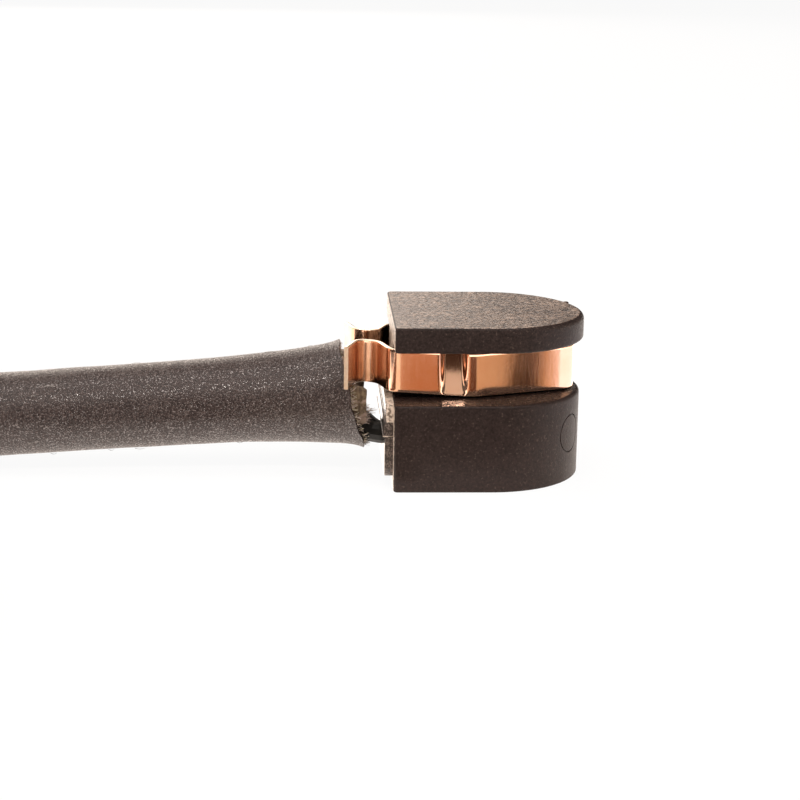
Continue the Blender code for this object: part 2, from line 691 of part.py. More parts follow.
def make_connector(mats, parent):
    """The connector, along its own +x from the boot's mouth, with x=0 at the mouth and its axis at height 0."""
    rubber, plastic, metal, lock_mat = mats
    housing_start = BOOT_LENGTH + JOIN_GAP
    collar_start = housing_start + HOUSING_LENGTH
    nose_start = collar_start + COLLAR_LENGTH
    nose_end = nose_start + NOSE_LENGTH

    mouth_radius = CORD_RADIUS + BOOT_CLEARANCE + BOOT_WALL
    sections = [
        plug_section(2 * mouth_radius, 2 * mouth_radius, mouth_radius * 0.98, 0.0),
        plug_section(2 * mouth_radius, 2 * mouth_radius, mouth_radius * 0.98, BOOT_LENGTH * 0.35),
        plug_section(PLUG_WIDTH * 0.86, PLUG_HEIGHT * 0.97, PLUG_CORNER * 1.6, BOOT_LENGTH * 0.8),
        plug_section(PLUG_WIDTH * 0.92, PLUG_HEIGHT * 0.97, PLUG_CORNER, BOOT_LENGTH),
    ]
    boot = add_object("rear_boot", loft(sections), rubber, parent)
    socket_radius = CORD_RADIUS + BOOT_CLEARANCE
    socket = [(-BOOT_WALL, socket_radius), (BOOT_SOCKET_DEPTH, socket_radius)]
    boolean(boot, as_tool(add_object("boot_socket", round_bar(socket), rubber, parent)), "DIFFERENCE")

    housing = add_object(
        "connector_housing",
        loft(
            [
                plug_section(PLUG_WIDTH, PLUG_HEIGHT, PLUG_CORNER, housing_start),
                plug_section(PLUG_WIDTH, PLUG_HEIGHT, PLUG_CORNER, collar_start),
            ]
        ),
        plastic,
        parent,
    )
    collar = loft(
        [
            plug_section(PLUG_WIDTH + 2 * COLLAR_STEP, PLUG_HEIGHT, PLUG_CORNER, collar_start - COLLAR_STEP),
            plug_section(PLUG_WIDTH + 2 * COLLAR_STEP, PLUG_HEIGHT, PLUG_CORNER, nose_start),
        ]
    )
    boolean(housing, as_tool(add_object("collar_form", collar, plastic, parent)), "UNION")
    nose = loft(
        [
            plug_section(NOSE_WIDTH, NOSE_HEIGHT, PLUG_CORNER, nose_start - COLLAR_STEP),
            plug_section(NOSE_WIDTH, NOSE_HEIGHT, PLUG_CORNER, nose_end),
        ]
    )
    boolean(housing, as_tool(add_object("nose_form", nose, plastic, parent)), "UNION")

    # The latch: a foot on the housing's top, and an arm that reaches over the nose and ends in a hook
    top = PLUG_HEIGHT / 2
    arm_low = top + LATCH_GAP
    arm_high = arm_low + LATCH_THICK
    foot_x = housing_start + HOUSING_LENGTH * 0.35
    hook_x = nose_start + LATCH_REACH
    latch_outline = [
        (foot_x, top - COLLAR_STEP),
        (foot_x + LATCH_THICK * 2, top - COLLAR_STEP),
        (foot_x + LATCH_THICK * 2.6, arm_low),
        (hook_x - LATCH_THICK, arm_low),
        (hook_x - LATCH_THICK, arm_low - LATCH_GAP),
        (hook_x, arm_low),
        (hook_x, arm_high),
        (foot_x - LATCH_THICK, arm_high),
        (foot_x - LATCH_THICK * 2, arm_high + LATCH_GAP * 0.4),
        (foot_x - LATCH_THICK * 2.2, arm_high - LATCH_GAP * 0.4),
        (foot_x - LATCH_THICK * 0.6, arm_low),
    ]
    latch = prism(latch_outline, -LATCH_WIDTH / 2, LATCH_WIDTH / 2, lambda u, v, w: Vector((u, w, v)))
    boolean(housing, as_tool(add_object("latch_form", latch, plastic, parent)), "UNION")

    cavity_front = nose_end + JOIN_GAP
    for number, side in enumerate((-CONTACT_PITCH / 2, CONTACT_PITCH / 2), start=1):
        bore = [(housing_start - JOIN_GAP, CONTACT_BORE), (cavity_front, CONTACT_BORE)]
        cut = as_tool(add_object(f"contact_bore_{number}", round_bar(bore, side), plastic, parent))
        boolean(housing, cut, "DIFFERENCE")
        body_radius = CONTACT_BORE - CONTACT_CLEARANCE
        tip = nose_end - JOIN_GAP
        back = tip - TERMINAL_LENGTH
        step_x = back + TERMINAL_LENGTH * 0.35
        profile = [
            (tip, SOCKET_RADIUS * 1.15),
            (tip, body_radius * 0.92),
            (tip - body_radius * 0.3, body_radius),
            (step_x, body_radius),
            (step_x, body_radius * 0.7),
            (back, body_radius * 0.7),
            (back, SOCKET_RADIUS * 0.6),
            (tip - TERMINAL_SOCKET_DEPTH, SOCKET_RADIUS * 0.6),
            (tip - TERMINAL_SOCKET_DEPTH, SOCKET_RADIUS),
            (tip - SOCKET_RADIUS * 0.5, SOCKET_RADIUS),
        ]
        add_object(f"terminal_{number}", lathe(profile, (0, side, 0), segments=16), metal, parent)
        seal_start = housing_start + JOIN_GAP
        seal = [(seal_start, SOCKET_RADIUS), (seal_start + WIRE_SEAL_LENGTH, SOCKET_RADIUS)]
        ribs = 3
        for rib in reversed(range(ribs)):
            middle = seal_start + WIRE_SEAL_LENGTH * (rib + 0.5) / ribs
            half = WIRE_SEAL_LENGTH / ribs * 0.28
            seal += [(middle + half, body_radius * 0.84), (middle, body_radius), (middle - half, body_radius * 0.84)]
        add_object(f"wire_seal_{number}", lathe(seal, (0, side, 0), segments=16), rubber, parent)

    make_ring_seal(rubber, parent, nose_start)
    make_lock(lock_mat, parent, nose_end)


def round_bar(profile, side=0.0, sides=16):
    points = [Vector((along, side, 0.0)) for along, radius in profile]
    return sweep(points, [radius for along, radius in profile], sides)


def make_ring_seal(mat, parent, nose_start):
    """A two-ribbed rubber ring around the nose, against the collar."""
    gap = CONTACT_CLEARANCE
    start = nose_start + gap
    rows = []
    for share, proud in ((0.0, 0.55), (0.2, 1.0), (0.4, 0.6), (0.6, 0.6), (0.8, 1.0), (1.0, 0.55)):
        rows.append((start + FACE_SEAL_LENGTH * share, gap + FACE_SEAL_THICK * proud))
    rings = []
    for along, proud in rows:
        rings.append(plug_section(NOSE_WIDTH + 2 * proud, NOSE_HEIGHT + 2 * proud, PLUG_CORNER + proud, along))
    for along in (start + FACE_SEAL_LENGTH, start):
        rings.append(plug_section(NOSE_WIDTH + 2 * gap, NOSE_HEIGHT + 2 * gap, PLUG_CORNER + gap, along))
    add_object("face_seal", loft(rings, closed=True), mat, parent)


def make_lock(mat, parent, nose_end):
    """The secondary lock: a plate over the nose's front with the two contact holes."""
    start = nose_end + CONTACT_CLEARANCE
    sections = [
        plug_section(NOSE_WIDTH, NOSE_HEIGHT, PLUG_CORNER, start),
        plug_section(NOSE_WIDTH, NOSE_HEIGHT, PLUG_CORNER, start + LOCK_THICK * 0.6),
        plug_section(NOSE_WIDTH * 0.93, NOSE_HEIGHT * 0.9, PLUG_CORNER * 0.9, start + LOCK_THICK),
    ]
    lock = add_object("secondary_lock", loft(sections), mat, parent)
    for number, side in enumerate((-CONTACT_PITCH / 2, CONTACT_PITCH / 2), start=1):
        hole = [(start - LOCK_THICK, SOCKET_RADIUS * 1.2), (start + 2 * LOCK_THICK, SOCKET_RADIUS * 1.2)]
        cut = as_tool(add_object(f"lock_hole_{number}", round_bar(hole, side, 14), mat, parent))
        boolean(lock, cut, "DIFFERENCE")


def main():
    clear_scene()
    moulding = material("head moulding", (0.032, 0.026, 0.024), 0.55)
    copper = material("clip copper alloy", (0.72, 0.36, 0.20), 0.22, 1.0)
    black_coat = material("sleeve coating", (0.045, 0.040, 0.038), 0.6)
    glass_fibre = material("glass fibre", (0.55, 0.48, 0.36), 0.9)
    insulation = material("wire insulation", (0.012, 0.012, 0.012), 0.35)
    tinned = material("tinned copper", (0.62, 0.58, 0.52), 0.3, 1.0)
    brass = material("crimp brass", (0.66, 0.50, 0.24), 0.3, 1.0)
    rubber = material("connector rubber", (0.02, 0.02, 0.02), 0.75)
    plastic = material("connector plastic", (0.025, 0.025, 0.026), 0.45)
    pale_plastic = material("lock plastic", (0.45, 0.44, 0.42), 0.45)

    head_frame = frame_empty("head_back_face", (BACK_X, 0.0, 0.0))
    make_head(moulding, head_frame)
    make_clip(copper, head_frame)
    make_wires(insulation, tinned, brass, head_frame)
    make_sleeve_ends(black_coat, glass_fibre, head_frame)
    make_cords(black_coat, head_frame)

    mouth = tail_point(TAIL_TURN)
    ahead = plug_axis()
    plug_frame = frame_empty(
        "connector_frame", (mouth.x, mouth.y, PLUG_HEIGHT / 2), math.atan2(ahead[1], ahead[0]), head_frame
    )
    make_connector((rubber, plastic, tinned, pale_plastic), plug_frame)


main()
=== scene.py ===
"""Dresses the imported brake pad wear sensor: camera, studio, cord, head, clip, sleeve mouth and connector."""

import json
import math

import bmesh
import bpy
from mathutils import Matrix, Vector, noise


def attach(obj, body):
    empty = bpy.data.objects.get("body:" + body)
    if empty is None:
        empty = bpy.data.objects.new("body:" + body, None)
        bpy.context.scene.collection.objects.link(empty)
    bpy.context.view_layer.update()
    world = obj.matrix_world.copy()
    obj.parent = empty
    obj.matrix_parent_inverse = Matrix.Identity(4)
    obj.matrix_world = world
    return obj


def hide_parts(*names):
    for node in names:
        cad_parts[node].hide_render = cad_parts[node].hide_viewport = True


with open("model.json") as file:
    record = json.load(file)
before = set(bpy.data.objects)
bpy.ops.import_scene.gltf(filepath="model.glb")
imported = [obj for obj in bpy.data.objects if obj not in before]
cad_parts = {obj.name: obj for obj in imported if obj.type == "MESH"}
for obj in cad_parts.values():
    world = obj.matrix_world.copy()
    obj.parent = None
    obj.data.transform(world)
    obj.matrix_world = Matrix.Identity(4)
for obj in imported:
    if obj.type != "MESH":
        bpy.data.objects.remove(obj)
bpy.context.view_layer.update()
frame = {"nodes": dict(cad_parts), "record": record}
nodes = frame["nodes"]

MM = 0.001

# The head's back face stands at this x, as in the part's source
HEAD_LENGTH = 0.0116
CLIP_THICK = 0.00025
CLIP_TAIL_X = -0.00276
BACK_X = (-CLIP_TAIL_X + CLIP_THICK / 2 - HEAD_LENGTH) / 2

# Camera, from the photograph's outlines
CAMERA_PLACE = (-5.345, -114.074, 32.850)
CAMERA_AZIMUTH = -2.992
CAMERA_ELEVATION = 14.094
CAMERA_ROLL = 0.817
CAMERA_LENS = 87.35

# Light: radiance of the world's fill, the overhead strip, the key strip in front and the softbox behind
WORLD_FILL = 0.13
OVERHEAD = 5.5
KEY = 36.0
BACK = 3.6


def local(x, y, z):
    """A place given in millimetres from the head's back face, in the frame's metres."""
    return Vector((BACK_X + x * MM, y * MM, z * MM))


def smoothstep(low, high, value):
    t = min(max((value - low) / (high - low), 0.0), 1.0)
    return t * t * (3 - 2 * t)


def seeded(*values):
    """A repeatable number from 0 to 1 for some whole numbers."""
    mixed = math.sin(sum((k + 1) * 12.9898 * value for k, value in enumerate(values)) + 4.1414) * 43758.5453
    return mixed - math.floor(mixed)


def full_turn(steps):
    """Angles evenly spread over one turn."""
    return [2 * math.pi * k / steps for k in range(steps)]


def direction(points, index):
    """The way that a line of points runs at one of them."""
    return (points[min(index + 1, len(points) - 1)] - points[max(index - 1, 0)]).normalized()


def placed(name, data):
    """A new object in the scene."""
    item = bpy.data.objects.new(name, data)
    bpy.context.scene.collection.objects.link(item)
    return item


# Camera


def add_camera():
    azimuth, elevation, roll = map(math.radians, (CAMERA_AZIMUTH, CAMERA_ELEVATION, CAMERA_ROLL))
    back = Vector(
        (math.sin(azimuth) * math.cos(elevation), -math.cos(azimuth) * math.cos(elevation), math.sin(elevation))
    )
    level = Vector((math.cos(azimuth), math.sin(azimuth), 0.0))
    above = back.cross(level)
    right = math.cos(roll) * level + math.sin(roll) * above
    up = -math.sin(roll) * level + math.cos(roll) * above
    camera = placed("camera", bpy.data.cameras.new("camera"))
    camera.matrix_world = Matrix.Translation(local(*CAMERA_PLACE)) @ Matrix((right, up, back)).transposed().to_4x4()
    camera.data.sensor_width = 36.0
    camera.data.lens = CAMERA_LENS
    camera.data.clip_start = 0.002
    camera.data.clip_end = 10.0
    bpy.context.scene.camera = camera


# Materials


class Shading:
    """A short way to write a material's nodes."""

    def __init__(self, name, roughness=0.5, metallic=0.0):
        self.material = bpy.data.materials.new(name)
        self.material.use_nodes = True
        self.tree = self.material.node_tree
        self.shader = self.tree.nodes["Principled BSDF"]
        self.set("Roughness", roughness)
        self.set("Metallic", metallic)
        self.place = self.add("TexCoord").outputs["Object"]

    def add(self, kind, **settings):
        item = self.tree.nodes.new(f"ShaderNode{kind}")
        for key, value in settings.items():
            setattr(item, key, value)
        return item

    def join(self, source, target):
        self.tree.links.new(source, target)

    def set(self, socket, value):
        if isinstance(value, bpy.types.NodeSocket):
            self.join(value, self.shader.inputs[socket])
        elif isinstance(value, tuple):
            self.shader.inputs[socket].default_value = (*value, 1.0)
        else:
            self.shader.inputs[socket].default_value = value

    def stretched(self, x, y, z):
        """Object coordinates times a scale each way."""
        item = self.add("Mapping")
        item.inputs["Scale"].default_value = (x, y, z)
        self.join(self.place, item.inputs["Vector"])
        return item.outputs["Vector"]

    def noise(self, scale, detail=2.0, roughness=0.5, vector=None, distortion=0.0):
        item = self.add("TexNoise")
        item.inputs["Scale"].default_value = scale
        item.inputs["Detail"].default_value = detail
        item.inputs["Roughness"].default_value = roughness
        item.inputs["Distortion"].default_value = distortion
        self.join(vector or self.place, item.inputs["Vector"])
        return item.outputs["Fac"]

    def cells(self, scale):
        """The distance to the nearest of many scattered points."""
        item = self.add("TexVoronoi")
        item.inputs["Scale"].default_value = scale
        self.join(self.place, item.inputs["Vector"])
        return item.outputs["Distance"]

    def ramp(self, value, *stops):
        """Colours or grey levels by value: each stop is (position, colour or level)."""
        item = self.add("ValToRGB")
        elements = item.color_ramp.elements
        while len(elements) < len(stops):
            elements.new(0.5)
        for element, (position, colour) in zip(elements, stops):
            element.position = position
            element.color = (*colour, 1.0) if isinstance(colour, tuple) else (colour, colour, colour, 1.0)
        self.join(value, item.inputs["Fac"])
        return item.outputs["Color"]

    def mix(self, share, first, second):
        item = self.add("Mix", data_type="RGBA")
        for socket, value in ((item.inputs[0], share), (item.inputs[6], first), (item.inputs[7], second)):
            if isinstance(value, bpy.types.NodeSocket):
                self.join(value, socket)
            else:
                socket.default_value = (*value, 1.0) if isinstance(value, tuple) else value
        return item.outputs[2]

    def maths(self, operation, first, second):
        item = self.add("Math", operation=operation)
        for socket, value in zip(item.inputs, (first, second)):
            if isinstance(value, bpy.types.NodeSocket):
                self.join(value, socket)
            else:
                socket.default_value = value
        return item.outputs[0]

    def bump(self, *layers):
        """Each layer is (height, strength, distance in metres)."""
        normal = None
        for height, strength, distance in layers:
            item = self.add("Bump")
            item.inputs["Strength"].default_value = strength
            item.inputs["Distance"].default_value = distance
            self.join(height, item.inputs["Height"])
            if normal:
                self.join(normal, item.inputs["Normal"])
            normal = item.outputs["Normal"]
        self.set("Normal", normal)


def moulding_material():
    """Dark brown glass-filled moulding: fine mottling, small pale flecks, matt."""
    s = Shading("head_moulding", 0.5)
    s.set("Specular IOR Level", 0.17)
    mottle = s.noise(7000, 3.0, 0.7)
    cloud = s.noise(900, 2.0)
    colour = s.ramp(mottle, (0.36, (0.0060, 0.0026, 0.0022)), (0.64, (0.0290, 0.0170, 0.0150)))
    colour = s.mix(0.3, colour, s.ramp(cloud, (0.3, (0.012, 0.0068, 0.0060)), (0.7, (0.026, 0.0165, 0.0150))))
    fleck = s.ramp(s.noise(6500, 1.0), (0.62, 0.0), (0.74, 1.0))
    colour = s.mix(s.maths("MULTIPLY", fleck, 0.30), colour, (0.12, 0.085, 0.070))
    s.set("Base Color", colour)
    s.set("Roughness", s.ramp(mottle, (0.3, 0.46), (0.7, 0.60)))
    s.bump((s.noise(1500, 2.0), 0.25, 0.00006), (mottle, 0.6, 0.00003))
    return s.material


def flange_top_material():
    """The top flange's face: the same moulding, paler in fine streaks along its length, partly abrasion and partly
    painted sheen of the top face.
    """
    s = Shading("flange_top_worn_and_painted_sheen", 0.5)
    streak = s.noise(1.0, 3.0, 0.75, s.stretched(1700, 5200, 5200))
    patch = s.noise(1.0, 2.0, 0.5, s.stretched(260, 700, 700))
    fine = s.noise(1.0, 1.0, 0.7, s.stretched(4200, 6500, 6500))
    tone = s.maths("ADD", s.maths("MULTIPLY", streak, 0.8), s.maths("MULTIPLY", patch, 0.2))
    # Partly painted sheen: the pale end of these streaks stands in partly for light that the top face reflects
    colour = s.ramp(tone, (0.43, (0.014, 0.007, 0.005)), (0.50, (0.095, 0.062, 0.046)), (0.57, (0.270, 0.195, 0.152)))
    colour = s.mix(s.ramp(fine, (0.40, 0.9), (0.50, 0.0)), colour, (0.018, 0.009, 0.007))
    colour = s.mix(s.ramp(fine, (0.58, 0.0), (0.72, 0.5)), colour, (0.33, 0.26, 0.22))
    s.set("Base Color", colour)
    s.set("Roughness", s.ramp(streak, (0.3, 0.38), (0.7, 0.50)))
    s.bump((streak, 0.6, 0.00006), (fine, 0.8, 0.00006))
    return s.material


def rim_top_material():
    """The groove's floor: moulded against polished steel, so it mirrors the clip a little."""
    s = Shading("rim_top", 0.22)
    mottle = s.noise(5000, 2.0, 0.6)
    s.set("Base Color", s.ramp(mottle, (0.3, (0.012, 0.0060, 0.0050)), (0.7, (0.030, 0.0180, 0.0150))))
    s.set("Roughness", s.ramp(s.noise(2200, 2.0), (0.3, 0.20), (0.7, 0.36)))
    s.bump((s.noise(2600, 3.0), 0.35, 0.00003), (mottle, 0.35, 0.00002))
    return s.material


def back_face_painted_glare_material():
    """The head's back: a coarser surface with many pale flecks, paler overall as painted glare at a grazing angle and
    as painted light where it lies in shade under the flange.
    """
    s = Shading("head_back_painted_glare", 0.42)
    s.set("Specular IOR Level", 0.3)
    fleck = s.ramp(s.noise(4200, 2.0, 0.7), (0.42, 0.0), (0.56, 1.0))
    # Painted glare: this pale colour stands in for the light on the back faces
    s.set("Base Color", s.mix(s.maths("MULTIPLY", fleck, 0.9), (0.17, 0.125, 0.095), (0.72, 0.60, 0.50)))
    s.bump((s.noise(3600, 2.0), 0.5, 0.00004))
    return s.material


def block_back_material():
    """The smooth moulded faces of the back, which shine near white when seen at a grazing angle."""
    s = Shading("block_back", 0.12)
    grain = s.noise(5200, 2.0, 0.7)
    s.set("Base Color", s.ramp(grain, (0.4, (0.020, 0.012, 0.010)), (0.6, (0.060, 0.045, 0.038))))
    s.set("Roughness", s.ramp(s.noise(2600, 2.0), (0.3, 0.09), (0.7, 0.18)))
    s.bump((grain, 0.2, 0.00001))
    return s.material


def block_side_material():
    """The raised block's sides: rough, brown, with pale glass flecks."""
    s = Shading("block_side", 0.45)
    fleck = s.ramp(s.noise(8500, 2.0, 0.7), (0.46, 0.0), (0.62, 1.0))
    s.set("Base Color", s.mix(s.maths("MULTIPLY", fleck, 0.85), (0.018, 0.011, 0.009), (0.17, 0.125, 0.105)))
    s.bump((s.noise(3600, 2.0), 0.6, 0.00005))
    return s.material


def copper_material():
    """Polished copper-coloured spring strip with faint rolling lines and small pits."""
    s = Shading("clip_copper_alloy", 0.1, 1.0)
    lines = s.noise(1.0, 2.0, 0.6, s.stretched(9000, 9000, 700))
    tarnish = s.noise(650, 3.0, 0.6)
    colour = s.ramp(tarnish, (0.3, (0.88, 0.520, 0.355)), (0.7, (0.92, 0.580, 0.415)))
    pit = s.ramp(s.cells(1900), (0.035, 1.0), (0.055, 0.0))
    colour = s.mix(s.maths("MULTIPLY", pit, 0.6), colour, (0.16, 0.06, 0.03))
    s.set("Base Color", colour)
    s.set("Roughness", s.ramp(lines, (0.3, 0.09), (0.7, 0.125)))
    s.bump((lines, 0.04, 0.000006), (s.noise(5200, 2.0, 0.6), 0.05, 0.00002), (s.noise(420, 2.0), 0.03, 0.00003))
    return s.material


def clip_tail_material():
    """The strip's curled tails, duller and browner than the polished rest; the darker, browner colour is painted shade
    of what the tails mirror.
    """
    s = Shading("clip_tail_painted_shade", 0.2, 1.0)
    lines = s.noise(1.0, 2.0, 0.6, s.stretched(9000, 9000, 700))
    # Painted shade: this darker copper stands in for the dark that the curls reflect
    s.set("Base Color", s.ramp(s.noise(900, 3.0, 0.6), (0.3, (0.52, 0.310, 0.200)), (0.7, (0.70, 0.450, 0.320))))
    s.set("Roughness", s.ramp(lines, (0.3, 0.15), (0.7, 0.25)))
    s.bump((lines, 0.06, 0.000006))
    return s.material


def clip_edge_material():
    """The strip's sheared edges, brighter and rougher than its faces."""
    s = Shading("clip_sheared_edge", 0.34, 1.0)
    grain = s.noise(7000, 2.0)
    s.set("Base Color", s.ramp(grain, (0.3, (0.90, 0.68, 0.50)), (0.7, (0.97, 0.84, 0.68))))
    s.bump((grain, 0.4, 0.00001))
    return s.material


def sleeve_material():
    """Coated glass-fibre sleeve: dark grey-brown, rough, with a dense fine pale speckle that glints."""
    s = Shading("sleeve_coating", 0.36)
    mottle = s.noise(6500, 3.0, 0.75)
    hair = s.ramp(s.noise(5200, 2.0, 0.6, distortion=0.4), (0.480, 0.0), (0.5, 0.6), (0.520, 0.0))
    grain = s.ramp(s.noise(11500, 1.0, 0.5), (0.55, 0.0), (0.64, 1.0))
    thin = s.ramp(s.noise(3100, 2.0), (0.48, 0.0), (0.58, 1.0))
    fleck = s.maths("MAXIMUM", s.maths("MULTIPLY", hair, thin), s.maths("MULTIPLY", grain, 0.85))
    colour = s.ramp(mottle, (0.36, (0.0100, 0.0050, 0.0048)), (0.64, (0.0460, 0.0300, 0.0275)))
    colour = s.mix(s.maths("MULTIPLY", fleck, 0.30), colour, (0.27, 0.195, 0.175))
    slow = s.ramp(s.noise(600, 2.0), (0.3, (0.018, 0.0110, 0.0105)), (0.7, (0.046, 0.032, 0.029)))
    s.set("Base Color", s.mix(0.2, colour, slow))
    s.set("Roughness", s.ramp(fleck, (0.1, 0.46), (0.7, 0.195)))
    s.set("Specular IOR Level", s.ramp(fleck, (0.1, 0.30), (0.7, 1.0)))
    s.bump(
        (s.noise(1250, 2.0), 0.30, 0.00006),
        (s.noise(7200, 2.0), 0.55, 0.00004),
        (fleck, 0.5, 0.00003),
    )
    return s.material


def glass_fibre_material():
    """Raw glass-fibre braid with a fine crossed weave: cream fibre darkened to brown as painted shade inside the
    sleeve, with paler streaks.
    """
    s = Shading("glass_fibre", 0.55)
    one = s.noise(1.0, 2.0, 0.6, s.stretched(5200, 1100, 1100))
    weave = s.noise(4200, 2.0, 0.6)
    tone = s.maths("ADD", s.maths("MULTIPLY", one, 0.6), s.maths("MULTIPLY", weave, 0.4))
    # Painted shade: the cream fibre is darkened here, while its cut ends stay pale
    colour = s.ramp(tone, (0.38, (0.040, 0.022, 0.009)), (0.50, (0.085, 0.050, 0.022)), (0.62, (0.17, 0.115, 0.060)))
    s.set("Base Color", s.mix(s.ramp(s.noise(1300, 3.0, 0.6), (0.50, 0.0), (0.60, 0.8)), colour, (0.30, 0.20, 0.15)))
    s.bump((one, 0.4, 0.00003), (weave, 0.4, 0.00003))
    return s.material


def fibre_material(name, colour):
    s = Shading(name, 0.42)
    s.set("Base Color", s.ramp(s.noise(3000, 2.0), (0.3, tuple(c * 0.72 for c in colour)), (0.7, colour)))
    s.bump((s.noise(9000, 1.0), 0.2, 0.00001))
    return s.material


def insulation_material():
    s = Shading("wire_insulation", 0.3)
    s.set("Specular IOR Level", 0.2)
    s.set("Base Color", s.ramp(s.noise(2400, 2.0), (0.3, (0.0075, 0.0065, 0.0055)), (0.7, (0.016, 0.014, 0.012))))
    s.bump((s.noise(1100, 2.0), 0.15, 0.00004))
    return s.material


def plastic_material(name, dark, pale, roughness, scale=4200, strength=0.35):
    s = Shading(name, roughness)
    grain = s.noise(scale, 3.0, 0.6)
    s.set("Base Color", s.ramp(grain, (0.3, dark), (0.7, pale)))
    s.set("Roughness", s.ramp(grain, (0.3, roughness * 0.88), (0.7, min(1.0, roughness * 1.15))))
    s.bump((grain, strength, 0.00002), (s.noise(500, 2.0), 0.1, 0.0001))
    return s.material


def metal_material(name, dark, pale, roughness):
    s = Shading(name, roughness, 1.0)
    lines = s.noise(1.0, 2.0, 0.5, s.stretched(900, 6000, 6000))
    s.set("Base Color", s.ramp(lines, (0.3, dark), (0.7, pale)))
    s.bump((lines, 0.2, 0.00001))
    return s.material


# Mesh helpers


# Edges sharper than this many degrees stay sharp
SHARP_ANGLE = 32.0


def smooth(mesh, sharp_angle=SHARP_ANGLE):
    mesh.shade_smooth()
    mesh.set_sharp_from_angle(angle=math.radians(sharp_angle))


def add_piece(name, bm, materials, sharp_angle=SHARP_ANGLE):
    bmesh.ops.recalc_face_normals(bm, faces=bm.faces)
    mesh = bpy.data.meshes.new(name)
    bm.to_mesh(mesh)
    bm.free()
    for item in materials:
        mesh.materials.append(item)
    smooth(mesh, sharp_angle)
    return placed(name, mesh)


def apply_modifiers(piece):
    mesh = bpy.data.meshes.new_from_object(piece.evaluated_get(bpy.context.evaluated_depsgraph_get()))
    piece.modifiers.clear()
    piece.data = mesh


def combine(target, tool, operation):
    """Joins or cuts with a second piece, which is then removed."""
    modifier = target.modifiers.new("boolean", "BOOLEAN")
    modifier.object = tool
    modifier.operation = operation
    modifier.solver = "EXACT"
    apply_modifiers(target)
    smooth(target.data)
    bpy.data.objects.remove(tool, do_unlink=True)


def add_loft(bm, rings, closed=False):
    """Joins rings of points into a tube, capped at both ends unless it closes on itself."""
    loops = [[bm.verts.new(point) for point in ring] for ring in rings]
    pairs = list(zip(loops, loops[1:]))
    if closed:
        pairs.append((loops[-1], loops[0]))
    for near, far in pairs:
        for index, first in enumerate(near):
            after = (index + 1) % len(near)
            bm.faces.new((first, near[after], far[after], far[index]))
    if not closed:
        bm.faces.new(list(reversed(loops[0])))
        bm.faces.new(loops[-1])


def loft(rings, closed=False):
    bm = bmesh.new()
    add_loft(bm, rings, closed)
    return bm


def rounded_route(corners, steps_per_turn=48):
    """Points of an open polyline whose inner corners are arcs. Each corner is (x, y, radius)."""
    points = [Vector(corners[0][:2])]
    for before, corner, after in zip(corners, corners[1:], corners[2:]):
        here = Vector(corner[:2])
        back = (Vector(before[:2]) - here).normalized()
        ahead = (Vector(after[:2]) - here).normalized()
        half = back.angle(ahead) / 2
        radius = corner[2]
        if radius <= 0 or half > math.radians(89.5):
            points.append(here)
            continue
        centre = here + (back + ahead).normalized() * (radius / math.sin(half))
        start = here + back * (radius / math.tan(half))
        end = here + ahead * (radius / math.tan(half))
        sweep = (start - centre).angle_signed(end - centre)
        count = max(2, math.ceil(abs(sweep) / (2 * math.pi) * steps_per_turn - 1e-6))
        arm = start - centre
        for step in range(count + 1):
            points.append(centre + Matrix.Rotation(-sweep * step / count, 2) @ arm)
    points.append(Vector(corners[-1][:2]))
    return points


def rounded_rectangle(width, height, radius, middle, steps=6):
    outline = []
    for corner, (right, up) in enumerate(((1, 1), (-1, 1), (-1, -1), (1, -1))):
        for step in range(steps + 1):
            angle = math.pi / 2 * (corner + step / steps)
            u = middle[0] + right * (width / 2 - radius) + radius * math.cos(angle)
            v = middle[1] + up * (height / 2 - radius) + radius * math.sin(angle)
            outline.append(Vector((u, v)))
    return outline


# The cord: flared at the head, then the lead-in, the coil and the tail into the connector's boot

CORD_DIAMETER = 5.1
CORD_RADIUS = CORD_DIAMETER / 2
COIL_CENTRE = (-52.8, -29.25)
COIL_INNER_RADIUS = 24.15
# The angle in degrees where each stretch of the coil starts: outer turn, climb, top turn, descent, inner turn
COIL_STRETCHES = (90, 390, 450, 690, 750)
COIL_EXIT_ANGLE = -50.0
TAIL_RADIUS = 13.0
TAIL_TURN = 130.0
BOOT_SOCKET_DEPTH = 4.0
JOIN_CLEARANCE = 0.3
PLUG_HEIGHT = 8.0
SLEEVE_AXIS_HEIGHT = 4.855
SLEEVE_SLOPE = 0.0677
SLEEVE_WALL = 0.38
SLEEVE_SIDES = 64
# The flared end's rings stop at this x, and this many after it are still flared and uneven
FLARE_START_X = -11.2
FLARED_RINGS = 40
# How much the sleeve widens at FLARE_X and how far that takes to fade, then the same at the lip
FLARE, FLARE_X, FLARE_FADE = 0.42, -4.0, 5.0
LIP_FLARE, LIP_FADE = 0.22, 0.6
# How much thinner than the cord's nominal radius the sleeve is beyond its flare
SLEEVE_SLACK = 0.065
# Where the slanted cut ends the sleeve: bottom, sides, shoulders and top
MOUTH_BOTTOM_X, MOUTH_SIDE_X, MOUTH_SHOULDER_X, MOUTH_TOP_X = -1.5, -2.4, -2.85, -3.05
# The rings round the lip, from the bore to the outside: how far along the flared end, and how deep in the wall
LIP = ((0.995, 0.93), (1.0, 0.66), (1.0, 0.30), (0.995, 0.05))
LEAD_IN_ROUTE = (
    (-12.3, 0.0, 4.02),
    (-16.0, 0.0, 3.77),
    (-20.0, 0.0, 3.50),
    (-23.6, 0.0, 3.26),
    (-27.0, 0.0, 3.02),
    (-30.0, 0.0, 2.82),
    (-32.6, 0.0, 2.67),
    (-34.9, 0.0, 2.58),
)


def sleeve_axis(x):
    return SLEEVE_AXIS_HEIGHT + SLEEVE_SLOPE * x


def coil_point(angle, radius, height):
    turn = math.radians(angle)
    return Vector((COIL_CENTRE[0] + radius * math.cos(turn), COIL_CENTRE[1] + radius * math.sin(turn), height))


